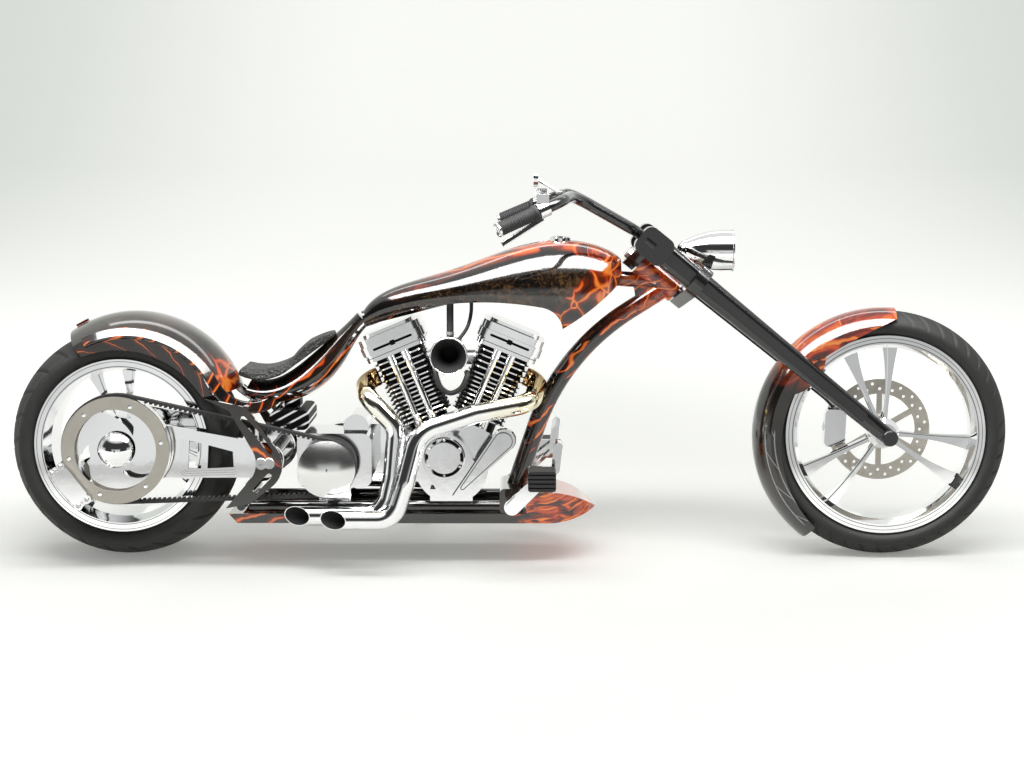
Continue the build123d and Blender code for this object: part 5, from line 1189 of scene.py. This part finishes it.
RAKE, FORK_OFFSET, STEM_TOP = math.radians(51.0), 0.060, 0.887
fork_up = np.array([-math.sin(RAKE), 0.0, math.cos(RAKE)])
fork_ahead = np.array([math.cos(RAKE), 0.0, math.sin(RAKE)])
STEERING_FOOT = FRONT_HUB - FORK_OFFSET * fork_ahead
PIVOT, PIVOT_MATE, AXLE_HALF = (0.405, -0.2002, 0.289), (0.427, -0.2002, 0.290), 0.1241
FILLER, UPWARDS = (1.236, 0.0, 0.906), (0.0, 0.0, 1.0)
turning("pivot_cap", cap_profile(0.0165, 0.005, 0.0048), PIVOT, RIGHT, satin_metal, "frame")
turning("pivot_cap_mate", cap_profile(0.0155, 0.0042), PIVOT_MATE, RIGHT, satin_metal, "frame")
for side, way in (("right", RIGHT), ("left", -RIGHT)):
    turning("axle_cap_" + side, cap_profile(0.0205, 0.0035), FRONT_HUB + AXLE_HALF * way, way, fork_black,
            "fork")
lid = [(0.0, 0.0), (0.0, 0.026), (0.0030, 0.025), (0.0050, 0.016), (0.0055, 0.0)]
turning("filler_lid", lid, FILLER, UPWARDS, chrome, "frame")
nut_place = STEERING_FOOT + STEM_TOP * fork_up
turning("stem_nut", cap_profile(0.019, 0.010), nut_place, fork_up, bolt_metal, "fork", count=6)

# %% [markdown]
# The headlamp needs what shows through its glass: a silvered bowl whose shape is a parabola, a bulb at its
# focus, and a bright trim ring round the glass. The horn of the carburettor gets a dull black sheet of
# painted shade that closes its throat, and a thin bright ring round its mouth.

# %% Headlamp and intake
LAMP_HEIGHT, LAMP_AHEAD = 0.714, 0.152
LAMP = STEERING_FOOT + LAMP_HEIGHT * fork_up + LAMP_AHEAD * fork_ahead
BOWL_BACK, BOWL_DEEP, BOWL_RADIUS, BOWL_WALL = -0.066, 0.110, 0.0530, 0.0012
step = np.linspace(0.0, 1.0, 15)
bowl = np.stack([BOWL_BACK + BOWL_DEEP * step**2, BOWL_RADIUS * step], -1)
bowl_outside = (bowl + (-BOWL_WALL, 0.0))[::-1]
turning("lamp_bowl", np.concatenate([bowl, bowl_outside]), LAMP, ahead, chrome, "fork", 64)
BULB_RADIUS, BULB_MIDDLE = 0.010, -0.030
swing = np.linspace(math.pi, 0.0, 11)[1:]
bulb = np.stack([BULB_MIDDLE + BULB_RADIUS * np.cos(swing), BULB_RADIUS * np.sin(swing).clip(0.0)], -1)
stalk = [(-0.062, 0.0), (-0.062, 0.006), (-0.042, 0.006)]
turning("lamp_bulb", np.concatenate([stalk, bulb]), LAMP, ahead, clear_lens, "fork", 24)


def ring_piece(name, along, radius, thick, place, way, finish, body):
    """A round bar bent into a ring: a small circle carried round an axis."""
    turn = np.linspace(0, 2 * math.pi, 14, endpoint=False)
    loop = np.stack([along + thick * np.cos(turn), radius + thick * np.sin(turn)], -1)
    grid = turned_about(loop, place, way, 72)
    return piece(name, parked(grid), squares(*grid.shape[:2], True, True), finish, body)


ring_piece("lamp_trim", 0.0605, 0.0577, 0.0032, LAMP, ahead, chrome, "fork")
# The dark sheet in the horn's throat is painted shade.
throat_shade = plain_black("intake throat shade", (0.002, 0.002, 0.002), 0.70, 0.0, 300.0)
HORN = np.array([0.926, 0.0, 0.590])
throat_profile = arc((0.1140, 0.0214), (0.1740, 0.0296), (0.2040, 0.0474), 16)
throat_profile_back = arc((0.2040, 0.0486), (0.1740, 0.0306), (0.1125, 0.0227), 16)
throat_profile = np.concatenate([[(0.1140, 0.0)], throat_profile, throat_profile_back, [(0.1125, 0.0)]])
turning("intake_shade_sheet", throat_profile, HORN, RIGHT, throat_shade, "frame", 64)
ring_piece("intake_ring", 0.2040, 0.0505, 0.0024, HORN, RIGHT, chrome, "frame")

# %% [markdown]
# The grips are rubber sleeves with shallow ribs and a flange, each closed by a polished end cap. The
# sleeve's radius is a function of the distance from its end, and one grid serves both sides.

# %% Grips
BAR_END, BAR_BEND = np.array([1.066, -0.352, 0.944]), np.array([1.236, -0.284, 1.018])
GRIP_LENGTH, GRIP_RADIUS, BAR_RADIUS, RIB_COUNT = 0.124, 0.0190, 0.0163, 15
grip_in = (BAR_BEND - BAR_END) / np.linalg.norm(BAR_BEND - BAR_END)
along = np.linspace(0.010, 0.112, 8 * RIB_COUNT + 1)
ribs = GRIP_RADIUS + 0.0009 * np.cos(2 * math.pi * RIB_COUNT * (along - along[0]) / (along[-1] - along[0]))
sleeve = np.concatenate([
    [(0.0, 0.0), (0.0, 0.0175), (0.002, GRIP_RADIUS), (0.009, GRIP_RADIUS)],
    np.stack([along, ribs], -1),
    [(0.114, 0.0215), (0.117, 0.0230), (0.122, 0.0230), (GRIP_LENGTH, 0.0220), (GRIP_LENGTH, BAR_RADIUS),
     (0.0062, BAR_RADIUS), (0.0062, 0.0)],
])
end_cap = [(-0.0030, 0.0), (-0.0026, 0.0095), (-0.0006, 0.0165), (0.0030, 0.0202), (0.0075, 0.0202),
           (0.0085, 0.0194), (0.0085, 0.0)]


def both_hands(name, profile, finish):
    """A profile carried round the right grip's axis, and its mirror image for the left hand."""
    right_grid = turned_about(profile, BAR_END - 0.006 * grip_in, grip_in, 36)
    grids = np.stack([right_grid, right_grid * (1.0, -1.0, 1.0)])
    faces = squares(*right_grid.shape[:2], close_columns=True, copies=2)
    return piece(name, parked(grids), faces, finish, "fork", sharp=0.7)


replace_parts(both_hands("ribbed_grips", sleeve, rubber_black), "grips")
both_hands("grip_ends", end_cap, chrome)

# %% [markdown]
# Petrol comes down from the tank through a tap and a bent pipe, and a breather pipe hangs between the
# cylinders. They are stiff pipes held at both ends: a circle carried along a smooth curve through a few
# points.

# %% Pipes
def smooth_path(points, steps=10):
    """A curve through the points: between two of them a cubic, its slope at each half the chord beside it."""
    points = np.asarray(points, float)
    padded = np.concatenate([2 * points[:1] - points[1:2], points, 2 * points[-1:] - points[-2:-1]])
    a, b, c, d = (padded[i : len(padded) - 3 + i, None] for i in range(4))
    t = np.linspace(0, 1, steps, endpoint=False)[None, :, None]
    curve = 0.5 * (2 * b + (c - a) * t + (2 * a - 5 * b + 4 * c - d) * t**2 + (3 * b - a - 3 * c + d) * t**3)
    return np.concatenate([curve.reshape(-1, 3), points[-1:]])


def pipe(name, points, radius, finish, body, sides=14):
    """A circle carried along a smooth path, closed at both ends."""
    path = smooth_path(points)
    tangent = np.gradient(path, axis=0)
    tangent = tangent / np.linalg.norm(tangent, axis=1, keepdims=True)
    side = np.cross(tangent, (0.05, 1.0, 0.1))
    side = side / np.linalg.norm(side, axis=1, keepdims=True)
    other = np.cross(tangent, side)
    angle = np.linspace(0, 2 * math.pi, sides, endpoint=False)
    spokes = np.cos(angle)[:, None] * side[:, None] + np.sin(angle)[:, None] * other[:, None]
    rings = path[:, None] + radius * spokes
    ends = np.repeat(path[[0, -1], None], sides, axis=1)
    grid = np.concatenate([ends[:1], rings, ends[1:]])
    return piece(name, parked(grid), squares(*grid.shape[:2], close_columns=True), finish, body)


tap = [(0.925, -0.050, 0.735), (0.925, -0.050, 0.676), (0.925, -0.050, 0.612)]
feed_pipe = [(0.985, -0.045, 0.735), (0.984, -0.050, 0.695), (0.973, -0.062, 0.655), (0.946, -0.075, 0.618)]
breather = [(0.886, -0.066, 0.542), (0.885, -0.092, 0.532), (0.898, -0.103, 0.494), (0.926, -0.104, 0.475),
            (0.957, -0.103, 0.489), (0.973, -0.092, 0.520), (0.972, -0.066, 0.530)]
for name, points, radius in (("fuel_tap", tap, 0.0100), ("fuel_pipe", feed_pipe, 0.0052),
                             ("breather_pipe", breather, 0.0075)):
    pipe(name, points, radius, rubber_black, "frame")
collar_place = (0.925, -0.050, 0.634)
collar = cap_profile(0.0128, 0.012)
turning("tap_collar", collar, collar_place, UPWARDS, bolt_metal, "frame", count=6)

# %% [markdown]
# The studio is a plain pale sweep: a floor that curves up into a wall, with no horizon. Its profile is a
# line, a quarter circle and a line, carried sideways. The floor keeps the machine's shadow; a little glow
# that only the camera and mirrors see brings it to the pale tone of a photo studio without throwing more
# light on the machine.

# %% Floor
FLOOR_NEAR, FLOOR_FAR, SWEEP, WALL_TOP, FLOOR_HALF = -7.5, 8.0, 3.0, 9.0, 14.0
PALE, DUSK, NO_LIGHT = (0.90, 0.905, 0.875, 1.0), (0.66, 0.685, 0.655, 1.0), (0.0, 0.0, 0.0, 1.0)
swing = np.linspace(0, math.pi / 2, 25)
profile = np.concatenate([
    np.stack([np.linspace(FLOOR_NEAR, FLOOR_FAR, 24), np.zeros(24)], -1),
    np.stack([FLOOR_FAR + SWEEP * np.sin(swing[1:]), SWEEP - SWEEP * np.cos(swing[1:])], -1),
    [(FLOOR_FAR + SWEEP, WALL_TOP)],
])
wide = np.linspace(-FLOOR_HALF, FLOOR_HALF, 25)
flat = np.zeros((len(profile), len(wide)))
sweep_grid = np.stack([flat + wide, flat + profile[:, :1], flat + profile[:, 1:]], -1)
floor_mesh = bpy.data.meshes.new("studio_sweep")
floor_faces = squares(*sweep_grid.shape[:2])[:, ::-1]
floor_mesh.from_pydata(sweep_grid.reshape(-1, 3).tolist(), [], floor_faces.tolist())
floor_mesh.shade_smooth()
floor = bpy.data.objects.new("studio_sweep", floor_mesh)
scene.collection.objects.link(floor)
floor_paint = bpy.data.materials.new("studio white")
floor_paint.use_nodes = True
floor_tree = floor_paint.node_tree
floor_tree.nodes.clear()
start = Wire(floor_tree)
looked_at = start.node("ShaderNodeLightPath", out="Is Camera Ray")
mirrored = start.node("ShaderNodeLightPath", out="Is Glossy Ray")
floor_x, floor_y, _ = axes(start.node("ShaderNodeTexCoord", out="Object"))
# Far from the machine the sweep is toned darker, towards DUSK: a painted fall-off of light.
tone = mixed(rises(abs(floor_x), 1.0, 4.2) * rises(floor_y, 1.0, 6.0), PALE, DUSK)
away = rises((floor_x ** 2.0 + floor_y ** 2.0) ** 0.5, 1.0, 3.2)
fade = rises(0 - floor_y, 3.6, 7.3)
glow = (0.22 + away * 0.55 - rises(floor_y, 0.5, 4.0) * 0.13) * (1 - fade)
matt = start.node("ShaderNodeBsdfDiffuse", {}, {"Color": mixed(fade, tone, NO_LIGHT)})
lift = start.node("ShaderNodeEmission", {}, {
    "Color": tone, "Strength": looked_at * (glow + fade * 1.03) + mirrored * (glow + fade * 0.55)})
both = start.node("ShaderNodeAddShader", {}, {0: matt, 1: lift})
end = floor_tree.nodes.new("ShaderNodeOutputMaterial")
floor_tree.links.new(both.socket, end.inputs["Surface"])
floor_mesh.materials.append(floor_paint)
print("floor from", FLOOR_NEAR, "to", FLOOR_FAR + SWEEP, "m")

# %% [markdown]
# A long soft light overhead draws the white bands along tank, spine and tubes. Behind the machine a narrow
# strip lines its upper edges. A third panel shows only in reflections: it makes the broad highlight on the
# lacquer and leaves the floor as it is.

# %% Lights
def soft_light(name, place, aim, long, deep, radiance):
    """A rectangular light whose power follows from its area and from how bright its face looks."""
    data = bpy.data.lights.new(name, "AREA")
    data.shape = "RECTANGLE"
    data.size, data.size_y = long, deep
    data.energy = radiance * math.pi * long * deep
    lamp = bpy.data.objects.new(name, data)
    scene.collection.objects.link(lamp)
    back = np.array(place, float) - np.array(aim, float)
    back = back / np.linalg.norm(back)
    top = np.cross(back, ahead)
    matrix = np.eye(4)
    matrix[:3, :3] = np.stack([ahead, top / np.linalg.norm(top), back], -1)
    matrix[:3, 3] = place
    lamp.matrix_world = Matrix(matrix)
    return lamp


soft_light("overhead softbox", (0.0, -0.9, 3.0), (0.0, 0.0, 0.5), long=4.6, deep=0.60, radiance=7.0)
soft_light("rear strip", (0.0, 1.5, 2.6), (0.0, 0.0, 0.6), long=4.2, deep=0.30, radiance=3.0)
band = soft_light("highlight panel", (0.0, -0.82, 2.95), (0.0, -0.3, 0.6), long=5.0, deep=1.5, radiance=12.0)
band.visible_diffuse = False

# %% [markdown]
# The room is what chrome shows. A photographer hangs dark flags round a shiny machine, because metal that
# mirrors only white looks like paper. Here the world is pale, but mirrors see it darkened: by a flag high on
# the camera's side, by two at the ends, and by a few soft dark stands along the horizon.

# %% Room
SEEN, MIRRORED, FLAG, LIT, STANDS = 0.93, 0.84, 0.80, 0.42, 0.40
world = bpy.data.worlds.new("studio room")
scene.world = world
world.use_nodes = True
room = Wire(world.node_tree)
way_x, way_y, way_z = axes(room.node("ShaderNodeTexCoord", out="Generated"))
camera_side = 1 - rises(way_y, -0.30, 0.05)
high_flag = rises(way_z, 0.03, 0.22) * (1 - rises(way_z, 0.60, 0.78)) * camera_side
side_flag = rises(abs(way_x), 0.27, 0.42) * (1 - rises(abs(way_x), 0.80, 0.93))
side_flag = side_flag * (1 - rises(way_z, 0.45, 0.65))
stands = noise(room.node("ShaderNodeCombineXYZ", {}, {0: way_x * 9.0, 1: way_z * 7.0}), 1.0, 1.0)
stands = rises(stands, 0.42, 0.62) * camera_side * (1 - rises(way_z, 0.20, 0.40)) * STANDS
dark = high_flag | (side_flag * (1 - rises(way_y, 0.10, 0.45))) | stands
by_eye, by_glass, by_gloss = (room.node("ShaderNodeLightPath", out=kind) for kind in (
    "Is Camera Ray", "Is Transmission Ray", "Is Glossy Ray"))
by_camera = by_eye | by_glass
by_mirror = by_gloss * (1 - by_camera)
strength = by_camera * SEEN + by_mirror * (MIRRORED - dark * FLAG) + (1 - (by_camera | by_mirror)) * LIT
background = world.node_tree.nodes["Background"]
background.inputs["Color"].default_value = (0.985, 1.0, 0.985, 1.0)
world.node_tree.links.new(strength.socket, background.inputs["Strength"])
scene.view_settings.view_transform = "Standard"
print("room ready, view:", scene.view_settings.view_transform)
